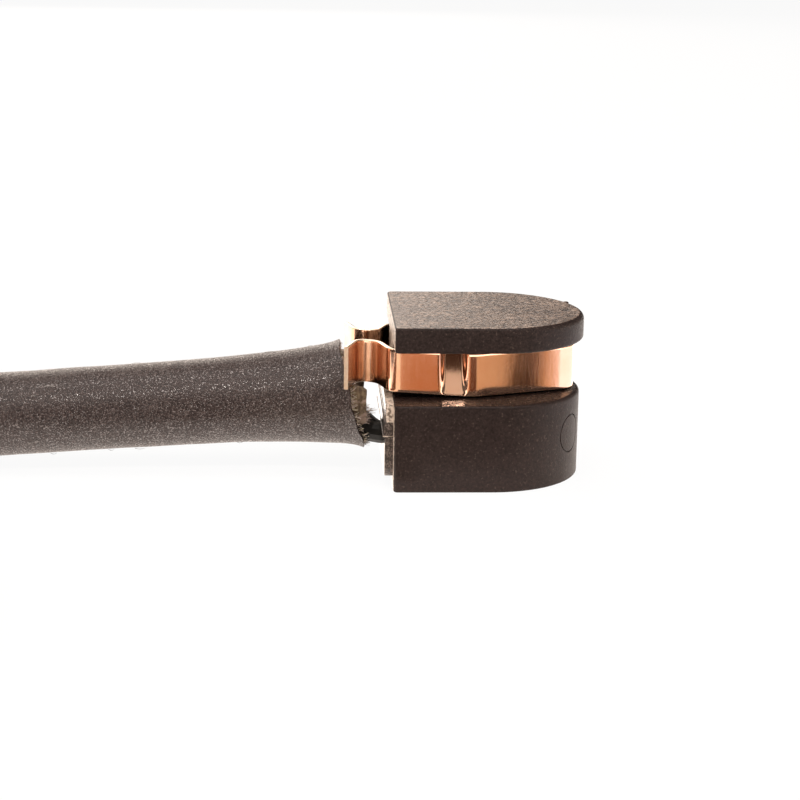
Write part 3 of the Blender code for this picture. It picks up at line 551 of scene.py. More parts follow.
def cord_route():
    """The cord's middle line in millimetres from the head's back face."""
    points = [Vector((x, 0.0, sleeve_axis(x))) for x in (*range(-3, -11, -1), FLARE_START_X)]
    points += [Vector(point) for point in LEAD_IN_ROUTE]
    points += [Vector((x, 0.0, CORD_RADIUS)) for x in (-38.0, -41.0, -44.0, -47.0, -50.0)]
    outer = COIL_INNER_RADIUS + CORD_DIAMETER
    top = COIL_INNER_RADIUS + CORD_DIAMETER / 2
    top_height = CORD_RADIUS + CORD_DIAMETER * math.sin(math.radians(60))
    step = 6

    def rolled(angle, middle, roll):
        """A place on the way over the turn whose middle is given."""
        roll = math.radians(roll)
        return coil_point(angle, middle + CORD_DIAMETER * math.cos(roll), CORD_RADIUS + CORD_DIAMETER * math.sin(roll))

    start, climb, level, descent, inner = COIL_STRETCHES
    end = round(1080 + COIL_EXIT_ANGLE)
    points += [coil_point(angle, outer, CORD_RADIUS) for angle in range(start, climb, step)]
    points += [rolled(angle, COIL_INNER_RADIUS, angle - climb) for angle in range(climb, level, step)]
    points += [coil_point(angle, top, top_height) for angle in range(level, descent, step)]
    points += [rolled(angle, outer, 120 + angle - descent) for angle in range(descent, inner, step)]
    points += [coil_point(angle, COIL_INNER_RADIUS, CORD_RADIUS) for angle in range(inner, end - 1, step)]
    steps = 16
    points += [tail_point(TAIL_TURN * k / steps) for k in range(steps + 1)]
    points.append(tail_point(TAIL_TURN) + plug_axis() * (BOOT_SOCKET_DEPTH - JOIN_CLEARANCE))
    return points


def tail_point(turned):
    arm = COIL_INNER_RADIUS - TAIL_RADIUS
    exit_angle = math.radians(COIL_EXIT_ANGLE)
    angle = exit_angle + math.radians(turned)
    rise = (PLUG_HEIGHT / 2 - CORD_RADIUS) * smoothstep(0.45, 0.95, turned / TAIL_TURN)
    return Vector(
        (
            COIL_CENTRE[0] + arm * math.cos(exit_angle) + TAIL_RADIUS * math.cos(angle),
            COIL_CENTRE[1] + arm * math.sin(exit_angle) + TAIL_RADIUS * math.sin(angle),
            CORD_RADIUS + rise,
        )
    )


def plug_axis():
    heading = math.radians(COIL_EXIT_ANGLE + TAIL_TURN + 90)
    return Vector((math.cos(heading), math.sin(heading), 0.0))


def mouth_x(angle):
    """Where the slanted cut ends the sleeve, at an angle about its axis: 90 degrees is the top."""
    up = math.sin(angle)
    ragged = 0.05 * math.sin(5 * angle + 0.6) + 0.035 * math.sin(11 * angle + 1.9) + 0.02 * math.sin(23 * angle)
    if up >= 0:
        shoulder = MOUTH_SIDE_X + (MOUTH_SHOULDER_X - MOUTH_SIDE_X) * smoothstep(0.0, 0.75, up)
        return shoulder + (MOUTH_TOP_X - MOUTH_SHOULDER_X) * smoothstep(0.6, 1.0, up) + ragged * 0.6
    return MOUTH_SIDE_X + (MOUTH_BOTTOM_X - MOUTH_SIDE_X) * -up + ragged


def flare(x):
    """How much wider than the cord the sleeve is at x."""
    return FLARE * math.exp((x - FLARE_X) / FLARE_FADE)


def flare_radius(x, end_x):
    """The sleeve's outside radius at x, where the lip is at end_x."""
    lip = LIP_FLARE * math.exp(-(end_x - x) / LIP_FADE)
    return CORD_RADIUS + flare(x) + lip - SLEEVE_SLACK * smoothstep(-3.0, -8.0, x)


def sleeve_wander(angle, x):
    """Slow unevenness of the sleeve's surface, in millimetres."""
    return 0.05 * noise.noise(Vector((x * 0.35, math.cos(angle) * 0.9, math.sin(angle) * 0.9)))


def flared_ring(share, wall):
    """A ring of the flared end, at a share of the way from its start to the slanted lip, this deep in the wall."""
    ring = []
    for angle in full_turn(SLEEVE_SIDES):
        end = mouth_x(angle)
        x = FLARE_START_X + (end - FLARE_START_X) * share
        radius = flare_radius(x, end) - wall + sleeve_wander(angle, x)
        ring.append(local(x, radius * math.cos(angle), sleeve_axis(x) + radius * math.sin(angle)))
    return ring


def make_cord(coating):
    route = cord_route()

    # From a cap deep inside, out along the bore to the lip, and back along the outside
    bore = [1 - (1 - k / 10) ** 1.7 for k in range(11)]
    outside = [1 - (1 - k / 24) ** 1.7 for k in range(25)]
    rings = [flared_ring(share, SLEEVE_WALL) for share in bore[1:-1]]
    rings += [flared_ring(share, SLEEVE_WALL * wall) for share, wall in LIP]
    rings += [flared_ring(share, 0.0) for share in reversed(outside[:-1])]

    # Rings along the rest of the route, turned so that the seam stays underneath
    first = next(k for k, point in enumerate(route) if point.x < FLARE_START_X - 0.1)
    rest = route[first:]
    dense = []
    for a, b in zip(rest, rest[1:]):
        count = max(1, round((b - a).length / 1.2))
        dense += [a + (b - a) * (k / count) for k in range(count)]
    dense.append(rest[-1])
    for index, point in enumerate(dense):
        ahead = direction(dense, index)
        side = Vector((0, 0, 1)).cross(ahead).normalized()
        lift = ahead.cross(side)
        near_head = index < FLARED_RINGS
        ring = []
        for angle in full_turn(SLEEVE_SIDES):
            extra = flare(point.x) + sleeve_wander(angle, point.x) if near_head else 0.0
            # Seen away from the head, the cord's left is the head's +y side turned round
            arm = side * -math.cos(angle) + lift * math.sin(angle)
            ring.append(local(*(point + arm * (CORD_RADIUS + extra - SLEEVE_SLACK))))
        rings.append(ring)
    piece = add_piece("sleeved_lead", loft(rings), [coating], 60.0)
    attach(piece, "root")
    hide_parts("sleeve_end", "sleeve_lead", "sleeve_coil", "sleeve_tail")
    return piece, route


# The head


BODY_LENGTH = 11.45
HEAD_HALF = 5.68
BODY_HEIGHT = 5.2
FLANGE_BOTTOM = 8.3
HEAD_HEIGHT = 9.8
# The rounding of their lower and upper edges, and how much more the upper one has at the nose
BODY_EDGES = (0.10, 0.14, 0.12)
FLANGE_EDGES = (0.16, 0.13, 0.24)
NECK_NOSE_X = 10.525
NECK_BACK_X = 0.03
NECK_HALF = 2.75
# How far the neck reaches into the body and the flange
NECK_OVERLAP = 0.6
BLOCK_WIDTH = 9.6
# The raised block on the back and the steps on it: bottom, top, how far they stand out, corner radius
BLOCKS = {
    "block": (0.65, 4.2, 0.5, 0.6),
    "block_step": (3.2, 4.12, 0.58, 0.2),
    "block_top": (3.9, 5.12, 0.46, 0.12),
}
# The block's rounding: how far in each ring is, and how far ahead of the block's end
BLOCK_ROUNDING = ((0.09, 0.0), (0.03, 0.025), (0.0, 0.09))
SEAM_HEIGHT = 3.2
SEAM_X = -0.28
SEAM_SIZE = (0.66, 9.74, 0.06)
NIB_PLACE = (10.86, 2.55, 9.71)
NIB_SIZE = (0.20, 0.16, 0.10)
# The pin's mark: its direction from the nose's middle, its height, its outer and inner radius and its depth
MARK_ANGLE = -31
MARK_HEIGHT = 2.9
MARK_OUTER = 1.17
MARK_INNER = 1.10
MARK_DEPTH = 0.07
WIRE_HOLES = ((-0.9, 2.36), (0.9, 2.00))
WIRE_HOLE_RADIUS = 0.75
WIRE_HOLE_ENDS = (-1.2, 3.4)
# The head's materials, in the order that main lists them
MOULDING, FLANGE_TOP, RIM_TOP, BACK_FACE_PAINTED_GLARE, BLOCK_SIDE, BLOCK_BACK = range(6)


def d_outline(length, inset_at, corner):
    """A half-round outline. inset_at gives the inset for a share from 0, at the sides, to 1, at the nose."""
    nose_x = length - HEAD_HALF
    inset = inset_at(0.0)
    half = HEAD_HALF - inset
    outline = rounded_route([(nose_x, half, 0), (inset, half, max(0.02, corner - inset)), (inset, 0, 0)], 32)[:-1]
    outline += [Vector((point.x, -point.y)) for point in reversed(outline)]
    steps = 72
    for step in range(1, steps):
        angle = -math.pi / 2 + math.pi * step / steps
        half = HEAD_HALF - inset_at(smoothstep(0.0, 1.0, math.cos(angle)))
        outline.append(Vector((nose_x + half * math.cos(angle), half * math.sin(angle))))
    return outline


def slab(name, length, low, high, edges, materials):
    """A half-round slab with rounded edges."""
    low_edge, high_edge, nose_extra = edges
    steps = 5
    nose_x = length - HEAD_HALF
    rings = []
    for k in range(2 * steps + 2):
        under = k <= steps
        angle = math.pi / 2 * (k if under else 2 * steps + 1 - k) / steps

        def edge(nose):
            return low_edge if under else high_edge + nose_extra * nose

        ring = []
        for point in d_outline(length, lambda nose: edge(nose) * (1 - math.sin(angle)), 0.28):
            nose = smoothstep(0.0, 1.0, (point.x - nose_x) / HEAD_HALF)
            climb = edge(nose) * (1 - math.cos(angle))
            ring.append(local(point.x, point.y, low + climb if under else high - climb))
        rings.append(ring)
    return add_piece(name, loft(rings), materials)


def union_blocks(head, materials):
    for name, (low, high, depth, radius) in BLOCKS.items():
        ends = [(inset, ahead - depth) for inset, ahead in BLOCK_ROUNDING] + [(0.0, 0.4)]
        rings = []
        for inset, x in ends:
            size = (BLOCK_WIDTH - 2 * inset, high - low - 2 * inset)
            outline = rounded_rectangle(*size, max(0.03, radius - inset), (0.0, (low + high) / 2))
            rings.append([local(x, p.x, p.y) for p in outline])
        combine(head, add_piece(name, loft(rings), materials), "UNION")


def union_details(head, materials):
    """The mould seam on the block's end, and a small nib of flash on the far flange rim."""
    seam = bmesh.new()
    bmesh.ops.create_cube(seam, size=1.0)
    long, wide, high = SEAM_SIZE
    for vert in seam.verts:
        vert.co = local(SEAM_X + vert.co.x * long, vert.co.y * wide, SEAM_HEIGHT + vert.co.z * high)
    combine(head, add_piece("seam", seam, materials), "UNION")
    nib = bmesh.new()
    bmesh.ops.create_icosphere(nib, subdivisions=2, radius=1.0)
    for vert in nib.verts:
        vert.co = local(*(place + part * size for place, part, size in zip(NIB_PLACE, vert.co, NIB_SIZE)))
    combine(head, add_piece("nib", nib, materials), "UNION")


def cut_mark(head, materials):
    mark_angle = math.radians(MARK_ANGLE)
    outward = Vector((math.cos(mark_angle), math.sin(mark_angle), 0))
    across = Vector((-outward.y, outward.x, 0))
    centre = Vector((BODY_LENGTH - HEAD_HALF, 0, MARK_HEIGHT))
    beyond = 6.5
    rings = []
    for angle in full_turn(72):
        ring = []
        for radius, along in ((MARK_OUTER, 0), (MARK_OUTER, beyond), (MARK_INNER, beyond), (MARK_INNER, 0)):
            aside = radius * math.cos(angle)
            arm = across * aside + Vector((0, 0, 1)) * radius * math.sin(angle)
            reach = along or math.sqrt((HEAD_HALF - MARK_DEPTH) ** 2 - aside ** 2)
            ring.append(local(*(centre + outward * reach + arm)))
        rings.append(ring)
    combine(head, add_piece("mark", loft(rings, closed=True), materials), "DIFFERENCE")


def cut_wire_holes(head, materials):
    radius = WIRE_HOLE_RADIUS
    for y, z in WIRE_HOLES:
        circle = [(y + radius * math.cos(angle), z + radius * math.sin(angle)) for angle in full_turn(32)]
        rings = [[local(x, *point) for point in circle] for x in WIRE_HOLE_ENDS]
        combine(head, add_piece("bore", loft(rings), materials), "DIFFERENCE")


def head_face(normal, middle):
    """Which of the head's materials a face has, from its normal and its middle."""
    x, z = (middle.x - BACK_X) / MM, middle.z / MM
    on_seam = abs(z - SEAM_HEIGHT) < 0.035 and abs(middle.y) > 4.83 * MM
    if normal.z > 0.97 and z > HEAD_HEIGHT - 0.05:
        return FLANGE_TOP
    if normal.z > 0.97 and abs(z - BODY_HEIGHT) < 0.06:
        return RIM_TOP
    if normal.x < -0.6 and (x < -0.3 or (x < 0.05 and z < 0.65)):
        return BLOCK_BACK
    # The back faces, the neck's and the flange's among them, take the material whose pale colour is painted glare
    if (normal.x < -0.93 and x < 0.4) or (x < -0.02 and on_seam):
        return BACK_FACE_PAINTED_GLARE
    if z > 4.15 and x < 0.0 and (normal.z > 0.6 or abs(normal.y) > 0.6):
        return BACK_FACE_PAINTED_GLARE
    return BLOCK_SIDE if x < -0.02 and z < 4.3 else MOULDING


def make_head(materials):
    head = slab("moulded_head", BODY_LENGTH, 0.0, BODY_HEIGHT, BODY_EDGES, materials)
    flange = slab("flange", HEAD_LENGTH / MM, FLANGE_BOTTOM, HEAD_HEIGHT, FLANGE_EDGES, materials)
    corners = [(NECK_NOSE_X, 0, 0), (NECK_NOSE_X, -1.0, 0.9), (5.0, -NECK_HALF, 2.0), (NECK_BACK_X, -NECK_HALF, 0)]
    side = rounded_route(corners, 48)[1:]
    outline = [Vector((p.x, -p.y)) for p in reversed(side)] + side
    heights = (BODY_HEIGHT - NECK_OVERLAP, FLANGE_BOTTOM + NECK_OVERLAP)
    neck = add_piece("neck", loft([[local(p.x, p.y, z) for p in outline] for z in heights]), materials)
    combine(head, neck, "UNION")
    combine(head, flange, "UNION")
    union_blocks(head, materials)
    union_details(head, materials)
    cut_mark(head, materials)
    cut_wire_holes(head, materials)

    for polygon in head.data.polygons:
        polygon.material_index = head_face(polygon.normal, polygon.center)
    head.modifiers.new("weighted normals", "WEIGHTED_NORMAL").keep_sharp = True
    apply_modifiers(head)
    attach(head, "root")
    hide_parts("sensor_head")


# The clip


CLIP_HEIGHT = 2.57
CLIP_BASE = BODY_HEIGHT + 0.11
THICK = CLIP_THICK / MM
EDGE_RADIUS = THICK * 0.22
# Half the distance between the legs, and between the necks of the two tails
LEG_HALF = 3.6
TAIL_NECK_HALF = 1.45
# The legs rise by this much a millimetre, from this x towards the back
LEG_RISE = 0.062
LEG_RISE_X = 4.4
# Where the pocket's first wall starts and ends, and its second wall
POCKET = (2.68, 3.10, 4.04, 4.46)
# Behind this x the strip is duller, and darker and browner as painted shade
TAIL_X = -0.35


def clip_half_route():
    """The near half of the strip's middle line, from the tail's end to the middle of the nose."""
    corners = [
        (CLIP_TAIL_X / MM, -3.85, 0),
        (-2.05, -TAIL_NECK_HALF, 0.8),
        (-0.85, -TAIL_NECK_HALF, 0.8),
        (-0.12, -LEG_HALF, 0.7),
        *((x, -LEG_HALF, 0) for x in POCKET),
        (5.0, -LEG_HALF, 2.0),
        (10.9, -1.4, 1.3),
        (10.9, 0, 0),
    ]
    coarse = rounded_route(corners, 96)
    fine = []
    for a, b in zip(coarse, coarse[1:]):
        in_pocket = POCKET[0] - 0.05 < (a.x + b.x) / 2 < POCKET[3] + 0.05
        count = max(1, math.ceil((b - a).length / (0.03 if in_pocket else 0.12)))
        fine += [a + (b - a) * (k / count) for k in range(count)]
    fine.append(coarse[-1])
    return fine


def pocket_share(x):
    start, wall, floor, end = POCKET
    return smoothstep(start, wall, x) * smoothstep(end, floor - 0.02, x)


def pocket_depth(up):
    """The pocket scoops in above the strip's bottom edge, then goes on up nearly upright."""
    return 0.91 * up - 0.24 * up ** 2


def strip_profile():
    """The strip's section: (offset from its middle, height) round a thin rectangle with rounded edges."""
    rows = 18
    corner = 4
    flat = CLIP_HEIGHT - 2 * EDGE_RADIUS
    half = [(-THICK / 2, EDGE_RADIUS + flat * row / rows) for row in range(rows + 1)]
    turns = [math.pi / 2 * k / corner for k in range(corner)]
    for turn in turns[1:]:
        across, along = EDGE_RADIUS * (1 - math.cos(turn)), EDGE_RADIUS * (1 - math.sin(turn))
        half.append((across - THICK / 2, CLIP_HEIGHT - along))
    for turn in turns:
        across, along = EDGE_RADIUS * (1 - math.sin(turn)), EDGE_RADIUS * (1 - math.cos(turn))
        half.append((THICK / 2 - across, CLIP_HEIGHT - along))
    return half + [(-offset, CLIP_HEIGHT - height) for offset, height in half]


def make_clip(materials):
    near = clip_half_route()
    far = [Vector((p.x, -p.y)) for p in reversed(near[:-1])]
    # The far tail is a little shorter
    route = near + [p for p in far if p.x > -2.62 or p.y < 3.0]
    profile = strip_profile()
    rings = []
    for index, point in enumerate(route):
        ahead = direction(route, index)
        inward = Vector((-ahead.y, ahead.x))
        bottom = CLIP_BASE + LEG_RISE * max(0.0, LEG_RISE_X - point.x)
        ring = []
        for offset, height in profile:
            sunk = pocket_depth(height / CLIP_HEIGHT) * pocket_share(point.x)
            place = point + inward * (offset + sunk)
            ring.append(local(place.x, place.y, bottom + height))
        rings.append(ring)
    clip = add_piece("bent_clip", loft(rings), materials, 40.0)
    for polygon in clip.data.polygons:
        if abs(polygon.normal.z) > 0.5 or len(polygon.vertices) > 6:
            polygon.material_index = 1
        # The tails behind TAIL_X take the copper darkened as painted shade
        elif polygon.center.x < BACK_X + TAIL_X * MM:
            polygon.material_index = 2
    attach(clip, "root")
    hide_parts("spring_clip")


# The inner sleeve and its frayed fibres


INNER_START_X = -11.0
INNER_END_X = -1.50
INNER_WALL = 0.25
INNER_LARGEST = 2.6
# The angles about the sleeve's axis between which the tuft grows
TUFT = (186.0, 204.0)
LIP_FIBRES = 150
TUFT_FIBRES = 30
HAIRS = 26


def inner_mouth_x(angle):
    """Where the inner sleeve ends: straight on its near side, short under the clip's tails, cut away below."""
    up = math.sin(angle)
    frayed = 0.012 * math.sin(9 * angle + 0.4) + 0.010 * math.sin(17 * angle + 2.0)
    return INNER_END_X + frayed - 0.9 * smoothstep(0.28, 0.42, up) - 2.6 * smoothstep(-0.55, -0.85, up)


def inner_radius(x, end_x):
    return min(flare_radius(x, end_x + 0.6) - SLEEVE_WALL - 0.06, INNER_LARGEST)


def make_inner_sleeve(materials):
    """The first material is the weave's, the second that of the cut end."""
    rings = []
    shares = [1 - (1 - k / 16) ** 1.6 for k in range(17)]
    for angle in full_turn(96):
        end = inner_mouth_x(angle)
        outer, inner = [], []
        for share in shares:
            x = INNER_START_X + (end - INNER_START_X) * share
            braid = 0.02 * math.sin(6 * angle + x * 5) * math.sin(6 * angle - x * 5)
            radius = inner_radius(x, end) + braid
            for column, r in ((outer, radius), (inner, radius - INNER_WALL)):
                column.append(local(x, r * math.cos(angle), sleeve_axis(x) + r * math.sin(angle)))
        rings.append(outer + list(reversed(inner)))
    piece = add_piece("inner_glass_fibre_sleeve", loft(rings, closed=True), materials, 40.0)
    around = 2 * len(shares)
    for polygon in piece.data.polygons:
        if polygon.index % around == len(shares) - 1:
            polygon.material_index = 1
    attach(piece, "root")
    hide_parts("inner_sleeve")


def fibre(bm, points, radius):
    """Adds a tapering fibre along some points."""
    rings = []
    for index, point in enumerate(points):
        ahead = direction(points, index)
        side = ahead.cross(Vector((0.13, 0.29, 0.95))).normalized()
        lift = ahead.cross(side)
        taper = radius * (1 - 0.45 * index / (len(points) - 1))
        arms = [side * math.cos(angle) + lift * math.sin(angle) for angle in full_turn(5)]
        rings.append([local(*(point + arm * taper)) for arm in arms])
    add_loft(bm, rings)


def fibre_points(x, radius, angle, reach, lean, turn):
    """A loose fibre's line from a place in the sleeve's wall, leaning away from the axis and turning about it."""
    points = []
    for k in range(6):
        t = k / 5
        here = x + reach * t
        r = radius + lean * t * t
        a = angle + turn * t * t
        points.append(Vector((here, r * math.cos(a), sleeve_axis(x) + r * math.sin(a))))
    return points


def make_frayed_fibres(materials):
    """Loose fibres that stand out of the cut edges, in four tones, and a thin tuft on the near side."""
    for tone, item in enumerate(materials):
        bm = bmesh.new()
        for number in range(LIP_FIBRES):
            angle = 2 * math.pi * (number + seeded(number, tone, 1)) / LIP_FIBRES
            up = math.sin(angle)
            if (up > 0.25 and tone > 1) or (tone % 2 and (up > -0.1 or math.cos(angle) > 0)):
                continue
            lip = mouth_x(angle)
            end = inner_mouth_x(angle)
            if tone % 2 == 0:
                x = lip - 0.22
                radius = flare_radius(x, lip) - 0.10 - 0.20 * seeded(number, tone, 3)
            else:
                x = max(end, lip - 0.6) - 0.22
                radius = inner_radius(x, end) - 0.12
            reach = 0.24 + (0.06 + 0.32 * seeded(number, tone, 2) ** 1.5) * (1.0 if up < 0.25 else 0.3)
            lean = (seeded(number, tone, 5) - 0.6) * 0.20
            turn = (seeded(number, tone, 4) - 0.5) * 0.24
            fibre(bm, fibre_points(x, radius, angle, reach, lean, turn), 0.011 + 0.012 * seeded(number, tone, 6))
        for number in range(TUFT_FIBRES):
            share = seeded(number, tone, 21)
            angle = math.radians(TUFT[0] + (TUFT[1] - TUFT[0]) * share)
            end = inner_mouth_x(angle)
            x = end - 0.16 - 0.2 * seeded(number, tone, 22)
            reach = 0.22 + (0.15 + 0.65 * seeded(number, tone, 23) ** 2) * math.sin(math.pi * share)
            radius = inner_radius(x, end) - 0.04 - 0.12 * seeded(number, tone, 24)
            lean = (seeded(number, tone, 25) - 0.6) * 0.35
            turn = (seeded(number, tone, 26) - 0.5) * 0.16
            fibre(bm, fibre_points(x, radius, angle, reach, lean, turn), 0.010 + 0.006 * seeded(number, tone, 27))
        piece = add_piece(f"frayed_fibres_{tone + 1}", bm, [item], 50.0)
        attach(piece, "root")


def make_hairs(item):
    """A few fine hairs that stand off the black sleeve."""
    bm = bmesh.new()
    bend_x, _, bend_z = LEAD_IN_ROUTE[0]
    for number in range(HAIRS):
        x = -3.4 - 22.0 * seeded(number, 11)
        angle = math.radians(-170 + 330 * seeded(number, 12))
        length = 0.25 + 0.45 * seeded(number, 13)
        sweep = (seeded(number, 14) - 0.5) * 0.28
        points = []
        for k in range(6):
            t = k / 5
            here = x + length * (t - 0.5)
            base = flare_radius(here, MOUTH_SIDE_X) if here > -11 else CORD_RADIUS + flare(here)
            r = base + 0.005 + 0.06 * math.sin(math.pi * t)
            a = angle + sweep * t
            z = sleeve_axis(here) if here > bend_x else bend_z + (here - bend_x) * SLEEVE_SLOPE
            points.append(Vector((here, r * math.cos(a), z + r * math.sin(a))))
        fibre(bm, points, 0.014)
    piece = add_piece("sleeve_hairs", bm, [item], 50.0)
    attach(piece, "root")


# Studio


WHITE = (1.0, 1.0, 1.0, 1.0)
WARM_WHITE = (1.0, 0.90, 0.82, 1.0)
# How much of the floor shines by itself for the camera, and how brightly it does for glossy rays
FLOOR_SHINE = 0.93
FLOOR_MIRRORED = 1.65


def cleared_tree(owner):
    owner.use_nodes = True
    owner.node_tree.nodes.clear()
    return owner.node_tree


def add_node(tree, kind, inputs, output=0, **settings):
    """Adds a node and returns one of its outputs. An input's value can be another node's output."""
    item = tree.nodes.new(f"ShaderNode{kind}")
    for key, value in settings.items():
        setattr(item, key, value)
    for socket, value in inputs.items():
        if isinstance(value, bpy.types.NodeSocket):
            tree.links.new(value, item.inputs[socket])
        else:
            item.inputs[socket].default_value = value
    return item.outputs[output]


def to_surface(tree, shader, owner="Material"):
    tree.links.new(shader, tree.nodes.new(f"ShaderNodeOutput{owner}").inputs["Surface"])


def add_staged(name, bm, item, hidden_from=()):
    """A piece of the studio that some kinds of rays don't see."""
    mesh = bpy.data.meshes.new(name)
    bm.to_mesh(mesh)
    bm.free()
    mesh.materials.append(item)
    piece = placed(name, mesh)
    for kind in hidden_from:
        setattr(piece, f"visible_{kind}", False)


def add_floor():
    """White floor, lit until it is as bright as the photograph's, that keeps the object's shadow."""
    item = bpy.data.materials.new("floor_white")
    tree = cleared_tree(item)
    path = tree.nodes.new("ShaderNodeLightPath").outputs
    shown = add_node(tree, "Math", {0: path["Is Camera Ray"], 1: FLOOR_SHINE}, operation="MULTIPLY")
    glossy = path["Is Glossy Ray"]
    mirrored = add_node(tree, "Math", {0: glossy, 1: FLOOR_MIRRORED}, operation="MULTIPLY")
    strength = add_node(tree, "Math", {0: shown, 1: mirrored}, operation="MAXIMUM")
    tint = add_node(tree, "Mix", {0: glossy, 6: WHITE, 7: WARM_WHITE}, 2, data_type="RGBA")
    glow = add_node(tree, "Emission", {"Color": tint, "Strength": strength})
    diffuse = add_node(tree, "BsdfDiffuse", {"Color": (0.88, 0.87, 0.86, 1.0)})
    black = add_node(tree, "BsdfDiffuse", {"Color": (0.0, 0.0, 0.0, 1.0)})
    lit = add_node(tree, "MixShader", {0: shown, 1: diffuse, 2: black})
    both = add_node(tree, "AddShader", {0: lit, 1: glow})
    to_surface(tree, both)
    bm = bmesh.new()
    bmesh.ops.create_grid(bm, x_segments=1, y_segments=1, size=1.6)
    add_staged("floor", bm, item)


def add_world():
    """A dim warm fill, which the camera sees as white."""
    world = bpy.data.worlds.new("studio")
    bpy.context.scene.world = world
    tree = cleared_tree(world)
    path = tree.nodes.new("ShaderNodeLightPath").outputs
    rays = {0: path["Is Camera Ray"], 1: path["Is Transmission Ray"]}
    seen = add_node(tree, "Math", rays, operation="MAXIMUM")
    fill = add_node(tree, "Background", {"Color": (1.0, 0.93, 0.88, 1.0), "Strength": WORLD_FILL})
    white = add_node(tree, "Background", {"Color": WHITE, "Strength": 1.0})
    mix = add_node(tree, "MixShader", {0: seen, 1: fill, 2: white})
    to_surface(tree, mix, "World")


def add_lamp(name, place, aim, size, radiance, colour=(1.0, 0.93, 0.87)):
    """A rectangular area lamp whose surface shines with the given radiance."""
    lamp = bpy.data.lights.new(name, "AREA")
    lamp.shape = "RECTANGLE"
    lamp.size, lamp.size_y = size
    lamp.energy = radiance * math.pi * size[0] * size[1]
    lamp.color = colour
    item = placed(name, lamp)
    item.location = place
    item.rotation_euler = (Vector(aim) - Vector(place)).to_track_quat("-Z", "Y").to_euler()
    item.visible_camera = False


# The floor cards' height, and their corners from the left to the right: each divides two cards
CARD_HEIGHT = 0.6
BROWN_EDGE = ((-20, -6), (-20, -46), (-16, -46))
CREAM_EDGE = ((-9, -6), (-9, -18), (-16, -46))
WARM_EDGE = ((1.3, -9), (1.3, -46))
SHADE_EDGE = ((5.2, -9), (5.5, -18), (6.6, -46))
PALE_EDGE = ((9.5, -9), (10.8, -20), (19, -46))
DARK_EDGE = ((14.7, -10.4), (19.3, -14.8), (45.4, -38))
MID_EDGE = ((17.0, -9.7), (22.0, -14.0), (49.2, -38))
WHITE_EDGE = ((18.4, -9.2), (23.2, -13.5), (51, -38))
# What the clip's corner, heel, shoulder, side and nose mirror: name, corners, radiance, colour
CARDS = (
    ("brown_reflector", (*BROWN_EDGE, *CREAM_EDGE[1::-1]), 1.0, (0.20, 0.10, 0.06)),
    ("cream_reflector", (*CREAM_EDGE, (1.3, -46), (1.3, -6)), 1.2, (1.0, 0.80, 0.62)),
    ("warm_reflector", (*WARM_EDGE, *SHADE_EDGE[::-1]), 1.0, (0.53, 0.235, 0.11)),
    ("shade_1", (*SHADE_EDGE, *PALE_EDGE[::-1]), 1.0, (0.14, 0.061, 0.033)),
    ("pale_reflector", (*PALE_EDGE, *DARK_EDGE[::-1]), 1.0, (0.68, 0.46, 0.28)),
    ("shade_2", (*DARK_EDGE, *MID_EDGE[::-1]), 1.0, (0.03, 0.015, 0.008)),
    ("mid_reflector", (*MID_EDGE, *WHITE_EDGE[::-1]), 1.0, (0.76, 0.44, 0.22)),
    ("white_reflector", (*WHITE_EDGE, (70, -30), (70, 22), (24, 22), (24, 0)), 1.75, (1.0, 0.94, 1.0)),
)
# The same for the upright cards in front: name, y, low, high, radiance, colour
WALLS = (
    ("front_reflector", -350, 100, 330, 0.75, (1.0, 0.88, 0.76)),
    ("front_shade", -345, 0.7, 100, 1.0, (0.05, 0.03, 0.02)),
)
WALL_ENDS = (-130, 150)


def add_card(name, corners, radiance, colour):
    """A reflector that is seen only in glossy reflections."""
    item = bpy.data.materials.new(name)
    tree = cleared_tree(item)
    glow = add_node(tree, "Emission", {"Color": (*colour, 1.0), "Strength": radiance})
    to_surface(tree, glow)
    bm = bmesh.new()
    bm.faces.new([bm.verts.new(local(*corner)) for corner in corners])
    add_staged(name, bm, item, ("camera", "diffuse", "transmission", "volume_scatter", "shadow"))


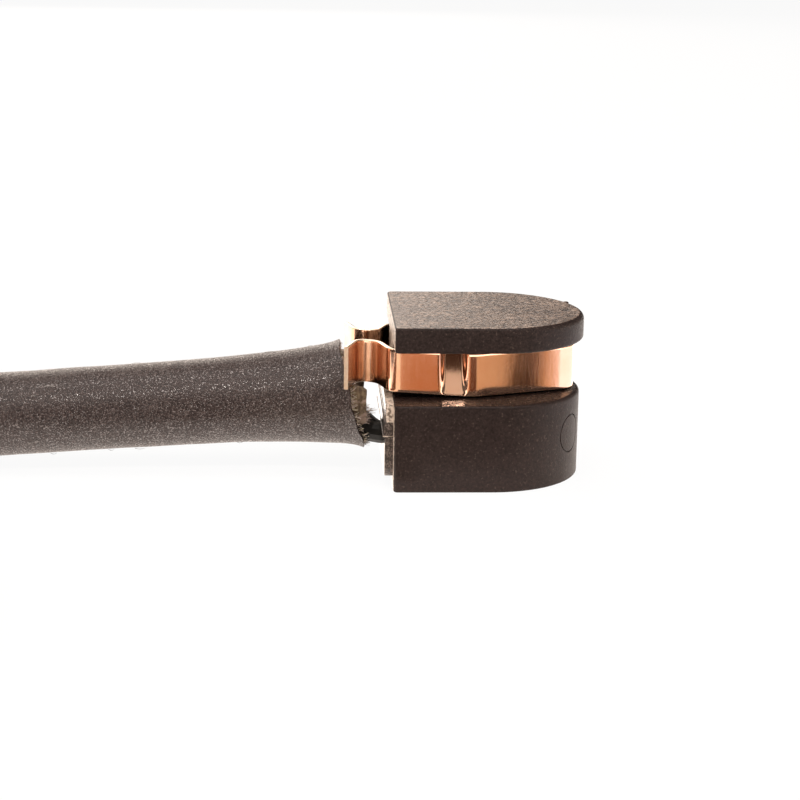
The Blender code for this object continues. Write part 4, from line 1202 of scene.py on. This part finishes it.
def add_studio():
    add_floor()
    add_world()
    centre = (0.0, 0.0, 0.005)
    add_lamp("overhead_strip", (-0.03, -0.07, 0.50), centre, (0.90, 0.17), OVERHEAD)
    add_lamp("key_strip", (-0.03, -0.40, 0.46), centre, (0.90, 0.030), KEY)
    add_lamp("back_softbox", (-0.37, 0.50, 0.20), (-0.37, 0.0, 0.005), (0.82, 0.34), BACK, (1.0, 0.88, 0.78))
    add_lamp("right_softbox", (0.50, 0.0, 0.16), centre, (0.60, 0.30), 1.2, (1.0, 0.82, 0.66))
    add_lamp("left_softbox", (-0.50, -0.05, 0.16), centre, (0.50, 0.30), 1.6, (1.0, 0.84, 0.70))
    for name, corners, radiance, colour in CARDS:
        add_card(name, [(*corner, CARD_HEIGHT) for corner in corners], radiance, colour)
    left, right = WALL_ENDS
    for name, y, low, high, radiance, colour in WALLS:
        add_card(name, ((left, y, low), (right, y, low), (right, y, high), (left, y, high)), radiance, colour)


def dressed_looks():
    """Materials of the pieces that keep their solids, by slot."""
    tin = ((0.50, 0.48, 0.44), (0.74, 0.72, 0.68))
    brass = ((0.50, 0.36, 0.14), (0.74, 0.58, 0.30))
    rubber = ((0.010, 0.010, 0.010), (0.022, 0.021, 0.020))
    plastic = ((0.012, 0.012, 0.012), (0.026, 0.025, 0.024))
    lock = ((0.40, 0.39, 0.37), (0.52, 0.51, 0.48))
    return {
        "wire_insulation": insulation_material(),
        "tinned_copper": metal_material("tinned_copper", *tin, 0.28),
        "crimp_brass": metal_material("crimp_brass", *brass, 0.3),
        "connector_rubber": plastic_material("connector_rubber", *rubber, 0.62, 2600),
        "connector_plastic": plastic_material("connector_plastic", *plastic, 0.42, 6500),
        "lock_plastic": plastic_material("lock_plastic", *lock, 0.42, 5200, 0.2),
    }


# The solids that a piece of the scene stands for
REBUILT = {"sensor_head", "spring_clip", "sleeve_end", "sleeve_lead", "sleeve_coil", "sleeve_tail", "inner_sleeve"}


def main():
    bpy.context.scene.view_settings.view_transform = "Standard"
    add_camera()
    add_studio()

    cord, route = make_cord(sleeve_material())
    tops = [moulding_material(), flange_top_material(), rim_top_material()]
    make_head([*tops, back_face_painted_glare_material(), block_side_material(), block_back_material()])
    make_clip([copper_material(), clip_edge_material(), clip_tail_material()])
    make_inner_sleeve([glass_fibre_material(), fibre_material("cut_fibre_ends", (0.78, 0.69, 0.54))])
    tones = ((0.66, 0.53, 0.46), (0.52, 0.42, 0.37), (0.46, 0.40, 0.27), (0.50, 0.38, 0.33))
    make_frayed_fibres([fibre_material(f"loose_fibre_{k + 1}", tone) for k, tone in enumerate(tones)])
    make_hairs(fibre_material("loose_hair", (0.40, 0.36, 0.33)))

    looks = dressed_looks()
    slots = {part["node"]: part["material_slot"] for part in frame["record"]["subparts"]}
    for name, item in nodes.items():
        if name not in REBUILT:
            for slot in item.material_slots:
                slot.material = looks[slots[name]]


main()
